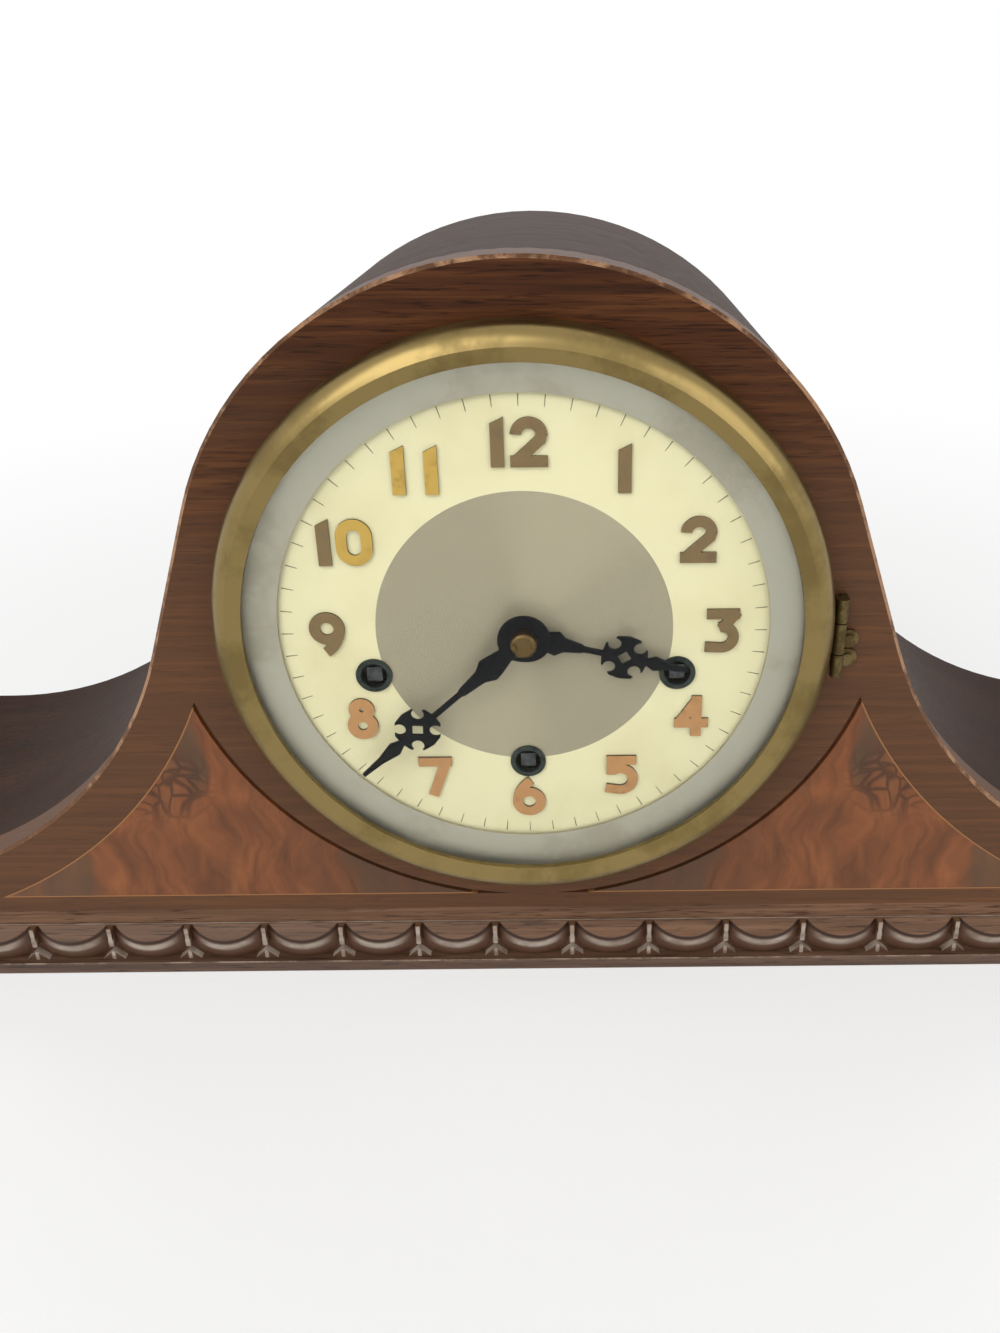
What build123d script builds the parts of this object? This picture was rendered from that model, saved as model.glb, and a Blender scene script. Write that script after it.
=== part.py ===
from build123d import *
import os
from math import atan2, cos, degrees, floor, hypot, pi, radians, sin, sqrt, tan

# Tambour mantel clock with a chiming movement of three trains, built piece by piece.
# X runs to the right as the viewer sees the dial, Y to the back and Z up, in millimetres.
# The origin is the middle of the base's underside.

os.makedirs("parts", exist_ok=True)

# Case outline from the front: a round crown, straight shoulders and hollow sweeps down to the wings
case_height = 177.0
crown_margin = 9.0
shoulder_tilt = 19.0
wing_half_width = 186.0
wing_height = 24.5
wing_flat_length = 9.4
case_depth = 96.0

# Case boards
front_board_thickness = 10.0
skin_thickness = 5.0
back_board_thickness = 5.0
back_board_recess = 6.0
edge_wear = 0.8
plinth_thickness = 3.3
base_thickness = 13.7
plinth_overhang = 0.3
wing_block_length = 36.0
glue_block_width = 24.0
glue_block_side = 12.0
glue_block_place_shares = (10 / 31, 56 / 93)

# Spandrel panels of burl, let into the front board
inlay_inset = 11.8
inlay_thickness = 1.0
inlay_ring_margin = 13.7
inlay_ring_rise = 5.0
inlay_foot = 21.5
inlay_groove = 1.0

# Egg and dart moulding round the base
lobe_pitch = 19.6
lobe_rise = 2.8
lobe_slope = 45.0
lobe_undercut = 1.4
lobe_brow = 0.3
lobe_top_margin = 4.2
lobe_belly_share = 0.5
moulding_thickness = 0.6
dart_width = 1.3
dart_rise = 1.8
dart_margin = 4.0
dart_foot_width = 5.6
dart_foot_height = 2.6
dart_foot_rise = 1.8

# Dial
dial_height = 97.0
dial_radius = 58.0
dial_seat = 8.0
dial_face_rise = 3.1
dial_thickness = 1.0
dial_centre_hole = 3.8
dial_screw_inset = 2.0
dial_screw_radius = 0.8
dial_screw_head_radius = 1.4
dial_screw_head_rise = 0.5
dial_screw_length = 7.0
dial_screw_count = 4

# Numerals, raised from the dial
numeral_circle = 43.4
numeral_height = 10.6
numeral_width = 7.8
numeral_stroke = 2.4
numeral_one_width = 2.8
numeral_one_slant = 1.4
numeral_rise = 0.6
numeral_pair_gap = 1.2
numeral_twin_gap = 4.0

# Bezel, its glass and its sight ring: rises are counted forward from the front board
bezel_margin = 10.0
bezel_flank_rise = 3.0
bezel_crest_inset = 4.0
bezel_crest_rise = 9.6
bezel_lip_inset = 7.2
bezel_lip_rise = 8.4
bezel_sheet = 1.2
bezel_round_share = 0.7
glass_inset = 5.5
glass_seat_rise = 6.7
glass_thickness = 1.3
glass_dome = 8.5
sight_lap = 4.0
sight_inner_rise = 4.2
sight_outer_rise = 5.3
sight_thickness = 0.6

# Bezel hinge, on the right
hinge_axis_gap = 1.9
hinge_axis_rise = 2.8
hinge_knuckle_radius = 1.4
hinge_pin_radius = 0.7
hinge_foot = 85.0
hinge_knuckle_length = 5.6
hinge_mid_length = 7.4
hinge_leaf_thickness = 1.0
hinge_web_width = 1.4
hinge_lobe_radius = 2.2
hinge_lobe_out = 2.7
hinge_strap_low = 1.6
hinge_strap_high = 2.9
hinge_screw_radius = 0.7
hinge_screw_head_radius = 1.15
hinge_screw_head_rise = 0.5
hinge_screw_length = 6.0
hinge_screw_edge = 3.6
hinge_screw_pitch = 4.7

# Hands: a leaf and a stem from the hub, a pierced cross, and a pointed leaf
hour_hand_length = 37.0
minute_hand_length = 51.0
hour_ornament_reach = 22.6
minute_ornament_reach = 33.2
hand_neck_width = 2.0
hand_leaf_width = 5.8
hand_leaf_share = 0.33
hand_waist_width = 3.2
hand_waist_share = 0.40
hand_collar_width = 1.9
hand_collar_share = 0.58
hand_stem_width = 1.25
cross_reach = 5.2
cross_shoulder_reach = 4.75
cross_shoulder_out = 2.5
cross_bite_reach = 4.1
cross_bite_radius = 1.45
cross_eye_width = 2.4
point_leaf_width = 3.4
point_leaf_share = 0.18
point_waist_width = 1.6
point_waist_share = 0.55
hand_tip_width = 0.9
hand_thickness = 0.7
hour_hub_radius = 5.0
minute_hub_radius = 5.8
hour_hand_rise = 5.3
minute_hand_rise = 6.9
hand_nut_radius = 2.9
hand_nut_length = 3.2
hand_nut_round = 0.8
minute_hand_angle = 227.6
hour_hand_angle = 103.5

# Winding holes and squares, placed from the dial's centre
side_arbor_out = 34.0
side_arbor_drop = 10.5
time_arbor_drop = 33.6
bushing_outer = 3.8
bushing_inner = 3.0
bushing_flange = 4.1
bushing_flange_rise = 0.5
winding_square = 3.4
winding_square_set_back = 0.4
winding_arbor_radius = 2.0

# Movement frame
plate_thickness = 2.0
plate_gap = 32.0
plate_set_back = 4.0
plate_case_gap = 1.8
pillar_rim = 4.0
plate_above = 40.0
plate_below = 60.0
plate_corner = 5.0
pillar_radius = 3.0
pillar_out = 46.0
pillar_inset = 5.5
foot_inset = 4.5
foot_top_inset = 12.0
foot_low_inset = 8.0
foot_radius = 4.0
foot_screw_radius = 1.6
foot_screw_head_radius = 3.2
foot_screw_head_rise = 2.0
foot_screw_bite = 6.0

# Wheels: tooth counts and modules
great_teeth = 50
great_module = 0.8
intermediate_leaves = 10
intermediate_teeth = 54
intermediate_module = 0.6
centre_leaves = 10
centre_teeth = 96
centre_module = 0.36
third_leaves = 8
third_teeth = 84
third_module = 0.36
escape_leaves = 7
escape_teeth = 45
escape_radius = 9.0
escape_tooth_depth = 1.2
escape_height = 19.2
side_great_teeth = 52
side_great_module = 0.7
side_leaves = 8
side_wheel_teeth = 64
side_wheel_module = 0.5
fly_leaves = 8
side_wheel_angle = 100.0
fly_angle = 60.0
cannon_leaves = 12
minute_wheel_teeth = 36
minute_wheel_module = 0.5
minute_leaves = 8
hour_wheel_teeth = 32
minute_wheel_angle = 45.0
drum_gear_teeth = 30
drum_gear_module = 0.6
drum_angle = -70.0

# Tooth forms, as shares of the module and of the tooth's angular pitch
wheel_form_shares = (0.85, 1.15, 0.26, 0.20, 0.07)
pinion_form_shares = (0.55, 1.25, 0.19, 0.17, 0.10)

# Wheels: places along Y, counted back from the front plate's inner face
wheel_thickness = 1.2
great_thickness = 2.0
pinion_margin = 0.7
great_set_back = 2.5
time_drum_length = 18.0
third_set_back = 5.4
centre_set_back = 8.0
escape_set_back = 11.0
side_drum_set_back = 10.5
side_drum_length = 13.0
side_wheel_set_back = 26.8
intermediate_set_back = 28.4
fly_set_back = 12.0
fly_length = 10.0
fly_radius = 7.0
fly_thickness = 0.8
time_drum_radius = 15.4
side_drum_radius = 17.0
drum_wall = 1.0
barrel_hub_radius = 4.0
stout_arbor_radius = 1.5
arbor_radius = 1.1
fine_arbor_radius = 0.7
stout_pivot_radius = 0.9
pivot_radius = 0.5
shoulder_gap = 0.4
running_gap = 0.05

# Motion work in front of the front plate
centre_arbor_radius = 1.2
cannon_radius = 2.3
hour_pipe_radius = 3.4
motion_gap = 0.6
motion_first_rise = 3.0
motion_second_rise = 6.6
motion_thickness = 2.0
minute_stud_radius = 1.0
minute_collar_radius = 1.5
minute_stud_cap_gap = 0.5
nut_cap_gap = 0.5

# Pallets, crutch and pendulum
pallet_reach = 12.5
pallet_clearance = 0.5
pallet_arm_width = 2.4
pallet_nib_length = 2.6
pallet_span = 9.6
crutch_gap = 0.6
crutch_thickness = 1.4
crutch_width = 2.4
crutch_length = 18.0
crutch_hub_radius = 2.4
crutch_prong = 1.4
pendulum_depth = 6.0
pendulum_length = 75.0
pendulum_rod_radius = 1.0
spring_thickness = 0.3
spring_width = 3.0
spring_length = 6.0
bob_radius = 14.0
bob_thickness = 7.0
bob_edge = 2.0
bob_swell_share = 0.75
rating_nut_radius = 3.0
rating_nut_height = 2.4
rod_tail = 3.0
cock_half_width = 4.0
cock_depth = 8.0
cock_height = 3.2
cock_finger_depth = 4.0
cock_finger_half_width = 3.0
hanging_gap = 0.3

# Chime drum, hammers and rods
chime_count = 5
hammer_pitch = 5.0
hammer_first = 7.0
chime_disc_radius = 6.0
chime_disc_tooth = 1.2
chime_disc_teeth = 8
chime_disc_thickness = 2.4
chime_core_radius = 4.0
bracket_set_back = 31.0
bracket_thickness = 1.6
bracket_rim = 4.0
bracket_post_radius = 2.2
hammer_pivot_out = 48.0
hammer_pivot_drop = 30.0
bracket_post_places = ((34.0, -16.0), (44.0, -45.0))
hammer_arbor_radius = 1.5
hammer_hub_radius = 3.2
hammer_hub_length = 4.2
hammer_arm_width = 2.4
hammer_arm_thickness = 1.6
hammer_tail_out = 45.4
hammer_tail_drop = 14.6
hammer_head_out = 74.0
hammer_head_radius = 2.1
hammer_head_length = 9.0
hammer_rest_gap = 0.5
rod_radius = 1.5
rod_height = 10.0
rod_longest = 146.0
rod_step = 8.0
rod_block_start = 88.0
rod_block_length = 16.0
rod_block_height = 16.0
rod_block_margin = 4.0

# Back door, its hinges, knob and turn button
door_opening_half_width = 52.0
door_opening_foot = 30.0
door_lap = 4.0
door_thickness = 4.0
door_gap = 0.3
door_knuckle_radius = 2.0
door_pin_radius = 0.9
door_knuckle_length = 5.0
door_mid_length = 8.0
door_axis_out = 2.5
door_leaf_width = 9.0
door_leaf_thickness = 0.8
door_web_offset = 1.5
door_hinge_heights = (48.0, 86.0)
knob_stem_radius = 2.4
knob_stem_length = 4.0
knob_radius = 5.0
knob_length = 5.0
knob_round = 1.6
knob_inset = 10.0
knob_height = 66.0
button_out = 62.5
button_height = 78.0
button_length = 22.0
button_width = 8.0
button_thickness = 2.2
button_boss_radius = 3.4
button_pin_radius = 1.5

# Fits
knuckle_gap = 0.3
overrun = 1.0

# Round fronts that follow from the dial
dial_opening_radius = dial_radius - dial_seat
dial_screw_circle = dial_radius - dial_screw_inset
bezel_radius = dial_radius + bezel_margin
bezel_crest_radius = bezel_radius - bezel_crest_inset
bezel_lip_radius = bezel_radius - bezel_lip_inset
glass_radius = bezel_radius - glass_inset
sight_inner_radius = dial_radius - sight_lap
inlay_ring_radius = bezel_radius + inlay_ring_margin
crown_radius = bezel_radius + crown_margin

# Depths and heights that follow from the sizes above
front_y = -case_depth / 2
back_y = case_depth / 2
board_back_y = front_y + front_board_thickness
back_board_rear = back_y - back_board_recess
back_board_front = back_board_rear - back_board_thickness
base_top = plinth_thickness + base_thickness
plate_front_y = board_back_y + plate_set_back
inner_front_y = plate_front_y + plate_thickness
inner_back_y = inner_front_y + plate_gap
plate_back_y = inner_back_y + plate_thickness
dial_front_y = front_y - dial_face_rise
dial_centre = (0.0, dial_height)
inlay_ring_centre = (0.0, dial_height + inlay_ring_rise)
dial_axis = Axis((0, 0, dial_height), (0, 1, 0))
dial_section = Plane(origin=(0, front_y, dial_height), x_dir=(1, 0, 0), z_dir=(0, 0, -1))

# Case outline: where the shoulders and the hollow sweeps meet
crown_z = case_height - crown_radius
tilt = radians(shoulder_tilt)
sweep_x = wing_half_width - wing_flat_length
shoulder_reach = sweep_x * cos(tilt) - (crown_z - wing_height) * sin(tilt) - crown_radius
sweep_radius = shoulder_reach / (1 - sin(tilt))
sweep_z = wing_height + sweep_radius

# Movement plates: the front one is as wide as the arch allows at its top
plate_top_drop = dial_height + plate_above - crown_z
front_plate_half_width = sqrt((crown_radius - skin_thickness) ** 2 - plate_top_drop**2) - plate_case_gap
back_plate_half_width = pillar_out + pillar_rim
foot_out = front_plate_half_width - foot_inset


def facing(y):
    """Plane across the clock at depth y, with its normal towards the viewer."""
    return Plane.XZ.offset(-y)


def polar_point(centre, reach, angle):
    """Point at a reach and an angle from a centre, as seen from the front."""
    return (centre[0] + reach * cos(radians(angle)), centre[1] + reach * sin(radians(angle)))


def meeting_point(first, first_reach, second, second_reach):
    """Point at two given distances from two centres, left of the way from the first to the second."""
    gap = hypot(second[0] - first[0], second[1] - first[1])
    along = (gap**2 + first_reach**2 - second_reach**2) / (2 * gap)
    across = sqrt(first_reach**2 - along**2)
    ux = (second[0] - first[0]) / gap
    uz = (second[1] - first[1]) / gap
    return (first[0] + along * ux - across * uz, first[1] + along * uz + across * ux)


def shaft(centre, radius, rear, front, mode=Mode.ADD):
    """Round bar along Y, added to or cut from the piece being built."""
    with BuildSketch(facing(rear)) as section:
        with Locations(centre):
            Circle(radius)
    extrude(section.sketch, amount=rear - front, mode=mode)


def block(x_span, y_span, z_span, mode=Mode.ADD):
    """Box between two limits on each axis, added to or cut from the piece being built."""
    with Locations((sum(x_span) / 2, sum(y_span) / 2, sum(z_span) / 2)):
        Box(x_span[1] - x_span[0], y_span[1] - y_span[0], z_span[1] - z_span[0], mode=mode)


def case_area(inset, foot, rear):
    """Area under the case's outline, drawn in by an inset and closed at the height of its foot."""
    crown = crown_radius - inset
    sweep = sweep_radius + inset
    level = sweep_z - sweep
    with BuildSketch(facing(rear)) as area:
        with BuildLine():
            CenterArc((0, crown_z), crown, shoulder_tilt, 180 - 2 * shoulder_tilt)
            for side in (1, -1):
                crown_end = (side * crown * cos(tilt), crown_z + crown * sin(tilt))
                sweep_end = (side * (sweep_x - sweep * cos(tilt)), sweep_z - sweep * sin(tilt))
                Line(crown_end, sweep_end)
                start = 180 + shoulder_tilt if side > 0 else 270
                CenterArc((side * sweep_x, sweep_z), sweep, start, 90 - shoulder_tilt)
                wing_end = side * wing_half_width
                Polyline((side * sweep_x, level), (wing_end, level), (wing_end, foot))
            Line((-wing_half_width, foot), (wing_half_width, foot))
        make_face()
    return area.sketch


def panel_area(side, margin, rear):
    """Outline of a spandrel panel: below the shoulder, outside the bezel's ring, above the base."""
    with BuildPart() as panel:
        extrude(case_area(inlay_inset, 0, rear), amount=inlay_thickness)
        shaft(inlay_ring_centre, inlay_ring_radius - margin, rear, rear - inlay_thickness, Mode.SUBTRACT)
        reach = wing_half_width * side
        block(sorted((0, reach)), (rear - inlay_thickness, rear), (inlay_foot, case_height), Mode.INTERSECT)
    return panel.part


def tooth_points(centre, teeth, module, phase, form):
    """Corners of a toothed rim, with a tooth centred on the phase angle, in radians."""
    addendum, dedendum, root_half, pitch_half, tip_half = form
    pitch_radius = teeth * module / 2
    root = pitch_radius - dedendum * module
    tip = pitch_radius + addendum * module
    turn = 2 * pi / teeth
    flank = ((root, root_half), (pitch_radius, pitch_half), (tip, tip_half))
    corners = []
    for tooth in range(teeth):
        middle = phase + tooth * turn
        rising = [(reach, middle - half * turn) for reach, half in flank]
        falling = [(reach, middle + half * turn) for reach, half in reversed(flank)]
        for reach, angle in rising + falling:
            corners.append((centre[0] + reach * cos(angle), centre[1] + reach * sin(angle)))
    return corners


def toothed(centre, teeth, module, phase, form, front, thickness):
    """Toothed disc added to the piece being built."""
    with BuildSketch(facing(front + thickness)) as rim:
        with BuildLine():
            Polyline(*tooth_points(centre, teeth, module, phase, form), close=True)
        make_face()
    extrude(rim.sketch, amount=thickness, clean=False)


def saw_disc(centre, teeth, tip, depth, front, thickness):
    """Disc with pointed, raked teeth added to the piece being built."""
    corners = []
    for tooth in range(teeth):
        angle = 360 / teeth * tooth
        corners.append(polar_point(centre, tip - depth, angle))
        corners.append(polar_point(centre, tip, angle))
    with BuildSketch(facing(front + thickness)) as rim:
        with BuildLine():
            Polyline(*corners, close=True)
        make_face()
    extrude(rim.sketch, amount=thickness)


def mesh_phase(first, first_teeth, second, second_teeth):
    """Phase of a second wheel whose gaps face the teeth of a first wheel that has no phase."""
    line = atan2(second[1] - first[1], second[0] - first[0])
    return line + pi + line * first_teeth / second_teeth + pi / second_teeth


def pivoted_arbor(centre, radius, pivot):
    """Arbor between the plates, with a thinner pivot in each plate."""
    shaft(centre, radius, inner_back_y - shoulder_gap, inner_front_y + shoulder_gap)
    shaft(centre, pivot, plate_back_y, plate_front_y)


def keep(piece, label):
    """Label a finished piece and write its file."""
    piece.part.label = label
    export_step(piece.part, f"parts/{label}.step")


# Centres of the arbors, from the dial's centre and the wheels' sizes
time_at = (0.0, dial_height - time_arbor_drop)
strike_at = (-side_arbor_out, dial_height - side_arbor_drop)
chime_at = (side_arbor_out, dial_height - side_arbor_drop)
great_reach = (great_teeth + intermediate_leaves) * great_module / 2
intermediate_reach = (intermediate_teeth + centre_leaves) * intermediate_module / 2
intermediate_at = meeting_point(dial_centre, intermediate_reach, time_at, great_reach)
escape_at = (0.0, dial_height + escape_height)
third_reach = (centre_teeth + third_leaves) * centre_module / 2
escape_reach = (third_teeth + escape_leaves) * third_module / 2
third_at = meeting_point(dial_centre, third_reach, escape_at, escape_reach)
pallet_at = (0.0, dial_height + escape_height + pallet_reach)
side_reach = (side_great_teeth + side_leaves) * side_great_module / 2
fly_reach = (side_wheel_teeth + fly_leaves) * side_wheel_module / 2
strike_wheel_at = polar_point(strike_at, side_reach, side_wheel_angle)
strike_fly_at = polar_point(strike_wheel_at, fly_reach, fly_angle)
chime_wheel_at = polar_point(chime_at, side_reach, 180 - side_wheel_angle)
chime_fly_at = polar_point(chime_wheel_at, fly_reach, 180 - fly_angle)
minute_reach = (cannon_leaves + minute_wheel_teeth) * minute_wheel_module / 2
hour_module = 2 * minute_reach / (minute_leaves + hour_wheel_teeth)
minute_wheel_at = polar_point(dial_centre, minute_reach, minute_wheel_angle)
chime_drum_at = polar_point(chime_wheel_at, drum_gear_teeth * drum_gear_module, drum_angle)
hammer_at = (hammer_pivot_out, dial_height - hammer_pivot_drop)
bracket_posts = [(out, dial_height + up) for out, up in bracket_post_places]
pillars_at = [
    (side * pillar_out, dial_height + level)
    for side in (1, -1)
    for level in (plate_above - pillar_inset, pillar_inset - plate_below)
]
feet_at = [
    (side * foot_out, dial_height + level)
    for side in (1, -1)
    for level in (plate_above - foot_top_inset, foot_low_inset - plate_below)
]
foot_screw_tip = board_back_y - foot_screw_bite
dial_screws_at = [
    polar_point(dial_centre, dial_screw_circle, 45 + 360 / dial_screw_count * turn)
    for turn in range(dial_screw_count)
]
dial_screw_tip = dial_front_y + dial_screw_length

# Bezel hinge: its axis stands just outside the ring and just in front of the wood
hinge_x = bezel_radius + hinge_axis_gap
hinge_y = front_y - hinge_axis_rise
hinge_mid_foot = hinge_foot + hinge_knuckle_length + knuckle_gap
hinge_top_foot = hinge_mid_foot + hinge_mid_length + knuckle_gap
hinge_top = hinge_top_foot + hinge_knuckle_length
hinge_screws_at = [
    (hinge_x + hinge_lobe_out, hinge_foot + hinge_screw_edge + step)
    for step in (0, hinge_screw_pitch)
]
hinge_leaf_front = front_y - hinge_leaf_thickness

# Front board: veneered plank with the dial's opening, worn along its edge
panel_recesses = [panel_area(side, inlay_groove, front_y + inlay_thickness) for side in (1, -1)]
with BuildPart() as front_board:
    extrude(case_area(0, base_top, board_back_y), amount=front_board_thickness)
    face_edges = front_board.faces().sort_by(Axis.Y)[0].edges()
    chamfer(face_edges.filter_by(lambda edge: edge.center().Z > base_top + edge_wear), edge_wear)
    shaft(dial_centre, dial_opening_radius, board_back_y, front_y, Mode.SUBTRACT)
    for recess in panel_recesses:
        add(recess, mode=Mode.SUBTRACT)
    for place in feet_at:
        shaft(place, foot_screw_radius, board_back_y, foot_screw_tip, Mode.SUBTRACT)
    for place in dial_screws_at:
        shaft(place, dial_screw_radius, dial_screw_tip, front_y, Mode.SUBTRACT)
    for place in hinge_screws_at:
        shaft(place, hinge_screw_radius, hinge_leaf_front + hinge_screw_length, front_y, Mode.SUBTRACT)
keep(front_board, "front_board")

# Spandrel panels: a matched pair of burl veneers
panels = [panel_area(side, 0, front_y + inlay_thickness) for side in (1, -1)]
with BuildPart() as inlays:
    for panel in panels:
        add(panel)
keep(inlays, "inlays")

# Bent top: one skin from wing to wing, behind the front board
with BuildPart() as arch_top:
    extrude(case_area(0, base_top, back_y), amount=back_y - board_back_y)
    inner_area = case_area(skin_thickness, 0, back_y + overrun)
    extrude(inner_area, amount=case_depth + 2 * overrun, mode=Mode.SUBTRACT)
    hollow = wing_half_width + overrun
    foot_level = wing_height - skin_thickness
    block((-hollow, hollow), (board_back_y, back_y), (base_top, foot_level), Mode.SUBTRACT)
keep(arch_top, "arch_top")


def wing_tip(side):
    """Block that fills the end of a wing under the skin."""
    depth = (board_back_y, back_board_front)
    with BuildPart() as tip:
        extrude(case_area(skin_thickness, base_top, depth[1]), amount=depth[1] - depth[0])
        span = sorted((side * (wing_half_width - wing_block_length), side * wing_half_width))
        block(span, depth, (base_top, wing_height), Mode.INTERSECT)
    return tip.part


# Corner blocks: two wing tips under the skin and four glue blocks behind the front board
wing_tips = [wing_tip(side) for side in (1, -1)]
with BuildPart() as corner_blocks:
    for tip in wing_tips:
        add(tip)
    for side in (1, -1):
        for share in glue_block_place_shares:
            place = share * wing_half_width
            span = (side * place - glue_block_width / 2, side * place + glue_block_width / 2)
            depth = (board_back_y, board_back_y + glue_block_side)
            block(span, depth, (base_top, base_top + glue_block_side))
keep(corner_blocks, "corner_blocks")

# Base: a thin plinth board, the base board on it, and the moulding round three sides
lobe_half = (lobe_pitch - dart_width) / 2
lobe_radius = (lobe_half**2 + lobe_rise**2) / (2 * lobe_rise)
lobe_top = base_top - lobe_top_margin
lobe_belly = plinth_thickness + (lobe_top - plinth_thickness) * lobe_belly_share
moulding_rise = moulding_thickness + lobe_rise
plinth_half = wing_half_width + moulding_rise + plinth_overhang
with BuildPart() as plinth_board:
    plinth_front = front_y - moulding_rise - plinth_overhang
    block((-plinth_half, plinth_half), (plinth_front, back_y), (0, plinth_thickness))
keep(plinth_board, "plinth_board")

with BuildPart() as base_board:
    block((-wing_half_width, wing_half_width), (front_y, back_y), (plinth_thickness, base_top))
keep(base_board, "base_board")

# One egg of the moulding: a turned belly, cut to the width between two darts
with BuildPart() as lobe:
    with BuildSketch(Plane.XZ):
        with BuildLine():
            top_radius = lobe_radius - lobe_brow
            low_radius = lobe_radius - lobe_undercut
            belly_foot = (low_radius, plinth_thickness)
            belly = ThreePointArc(belly_foot, (lobe_radius, lobe_belly), (top_radius, lobe_top))
            Polyline(belly @ 1, (0, lobe_top), (0, plinth_thickness), belly @ 0)
        make_face()
    revolve(axis=Axis.Z)
    lobe_front = (-lobe_radius - overrun, lobe_rise - lobe_radius)
    block((-lobe_half, lobe_half), lobe_front, (0, base_top), Mode.INTERSECT)


def moulding_run(count, pitch):
    """Straight run of eggs under a sloping top, with darts between, along X, facing the front from y = 0."""
    half = count * pitch / 2
    with BuildPart() as run:
        block((-half, half), (-moulding_thickness, 0), (plinth_thickness, lobe_top))
        eggs = [((egg + 1 / 2) * pitch - half, lobe_radius - moulding_rise, 0) for egg in range(count)]
        with Locations(*eggs):
            add(lobe.part)
        slope_out = moulding_rise + overrun
        slope_drop = (slope_out - moulding_thickness) * tan(radians(lobe_slope))
        with BuildSketch(Plane.YZ.offset(-half)):
            with BuildLine():
                slope_low = (-slope_out, lobe_top - slope_drop)
                Polyline((-moulding_thickness, lobe_top), slope_low, (-slope_out, lobe_top), close=True)
            make_face()
        extrude(amount=2 * half, mode=Mode.SUBTRACT)
        edge = half - dart_width / 2
        dart_height = lobe_top - plinth_thickness - dart_margin
        dart_level = lobe_top - dart_height / 2
        dart_depth = -moulding_thickness - dart_rise / 2
        darts = [min(max(dart * pitch - half, -edge), edge) for dart in range(count + 1)]
        with Locations(*[(dart, dart_depth, dart_level) for dart in darts]):
            Box(dart_width, dart_rise, dart_height)
        with BuildSketch(facing(-moulding_thickness)):
            with Locations(*[(dart, plinth_thickness) for dart in darts]):
                foot_half = dart_foot_width / 2
                Polygon((-foot_half, 0), (foot_half, 0), (0, dart_foot_height), align=None)
        extrude(amount=dart_foot_rise)
        front_span = (-moulding_rise - overrun, 0)
        block((-half, half), front_span, (plinth_thickness, lobe_top), Mode.INTERSECT)
    return run.part


front_eggs = floor(2 * (wing_half_width + moulding_thickness) / lobe_pitch)
end_eggs = floor(case_depth / lobe_pitch + 1 / 2)
front_pitch = 2 * (wing_half_width + moulding_thickness) / front_eggs
end_pitch = case_depth / end_eggs
front_run = moulding_run(front_eggs, front_pitch)
end_run = moulding_run(end_eggs, end_pitch)
right_end = Location((wing_half_width, 0, 0), (0, 0, 90))
left_end = Location((-wing_half_width, 0, 0), (0, 0, -90))
with BuildPart() as base_moulding:
    with Locations((0, front_y, 0)):
        add(front_run)
    with Locations(right_end, left_end):
        add(end_run)
keep(base_moulding, "base_moulding")

# Back board: set into the case, with an arched opening behind the movement
door_axis_x = -(door_opening_half_width + door_lap + door_axis_out)
door_rear = back_board_rear + door_gap + door_thickness
door_axis_y = door_rear + door_leaf_thickness / 2
button_at = (button_out, button_height)


def arched_area(half_width, foot, rear):
    """Upright panel with a round head about the dial's centre."""
    with BuildSketch(facing(rear)) as area:
        with Locations(dial_centre):
            Circle(half_width)
        with Locations((0, (foot + dial_height) / 2)):
            Rectangle(2 * half_width, dial_height - foot)
    return area.sketch


with BuildPart() as back_board:
    extrude(case_area(skin_thickness, base_top, back_board_rear), amount=back_board_thickness)
    opening = arched_area(door_opening_half_width, door_opening_foot, back_board_rear)
    extrude(opening, amount=back_board_thickness, mode=Mode.SUBTRACT)
    shaft(button_at, button_pin_radius + running_gap, back_board_rear, back_board_front, Mode.SUBTRACT)
keep(back_board, "back_board")

# Back door: a plain panel that laps over the opening, with a turned knob
with BuildPart() as back_door:
    door_half_width = door_opening_half_width + door_lap
    extrude(arched_area(door_half_width, door_opening_foot - door_lap, door_rear), amount=door_thickness)
keep(back_door, "back_door")

with BuildPart() as door_knob:
    knob_at = (door_half_width - knob_inset, knob_height)
    knob_neck = door_rear + knob_stem_length
    shaft(knob_at, knob_stem_radius, knob_neck, door_rear)
    shaft(knob_at, knob_radius, knob_neck + knob_length, knob_neck)
    fillet(door_knob.edges().filter_by(GeomType.CIRCLE).group_by(SortBy.RADIUS)[-1], knob_round)
keep(door_knob, "door_knob")


def knuckle_feet(middle):
    """Lower ends of a door hinge's three knuckles, about its middle height."""
    mid_foot = middle - door_mid_length / 2
    low_foot = mid_foot - knuckle_gap - door_knuckle_length
    return (low_foot, mid_foot, mid_foot + door_mid_length + knuckle_gap)


def upright(x, y, radius, foot, height, mode=Mode.ADD):
    """Upright round bar, added to or cut from the piece being built."""
    with BuildSketch(Plane.XY.offset(foot)) as section:
        with Locations((x, y)):
            Circle(radius)
    extrude(section.sketch, amount=height, mode=mode)


# Door hinges: cranked leaves on the back board with their pins, flat leaves on the door
with BuildPart() as door_case_leaves:
    for middle in door_hinge_heights:
        low_foot, mid_foot, top_foot = knuckle_feet(middle)
        web_x = door_axis_x - door_web_offset
        leaf_top = top_foot + door_knuckle_length
        leaf_rear = back_board_rear + door_leaf_thickness
        block((web_x - door_leaf_width, web_x), (back_board_rear, leaf_rear), (low_foot, leaf_top))
        for foot in (low_foot, top_foot):
            heights = (foot, foot + door_knuckle_length)
            block((web_x - door_leaf_thickness, web_x), (back_board_rear, door_axis_y), heights)
            upright(door_axis_x, door_axis_y, door_knuckle_radius, foot, door_knuckle_length)
        upright(door_axis_x, door_axis_y, door_pin_radius, low_foot, leaf_top - low_foot)
keep(door_case_leaves, "door_case_leaves")

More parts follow.
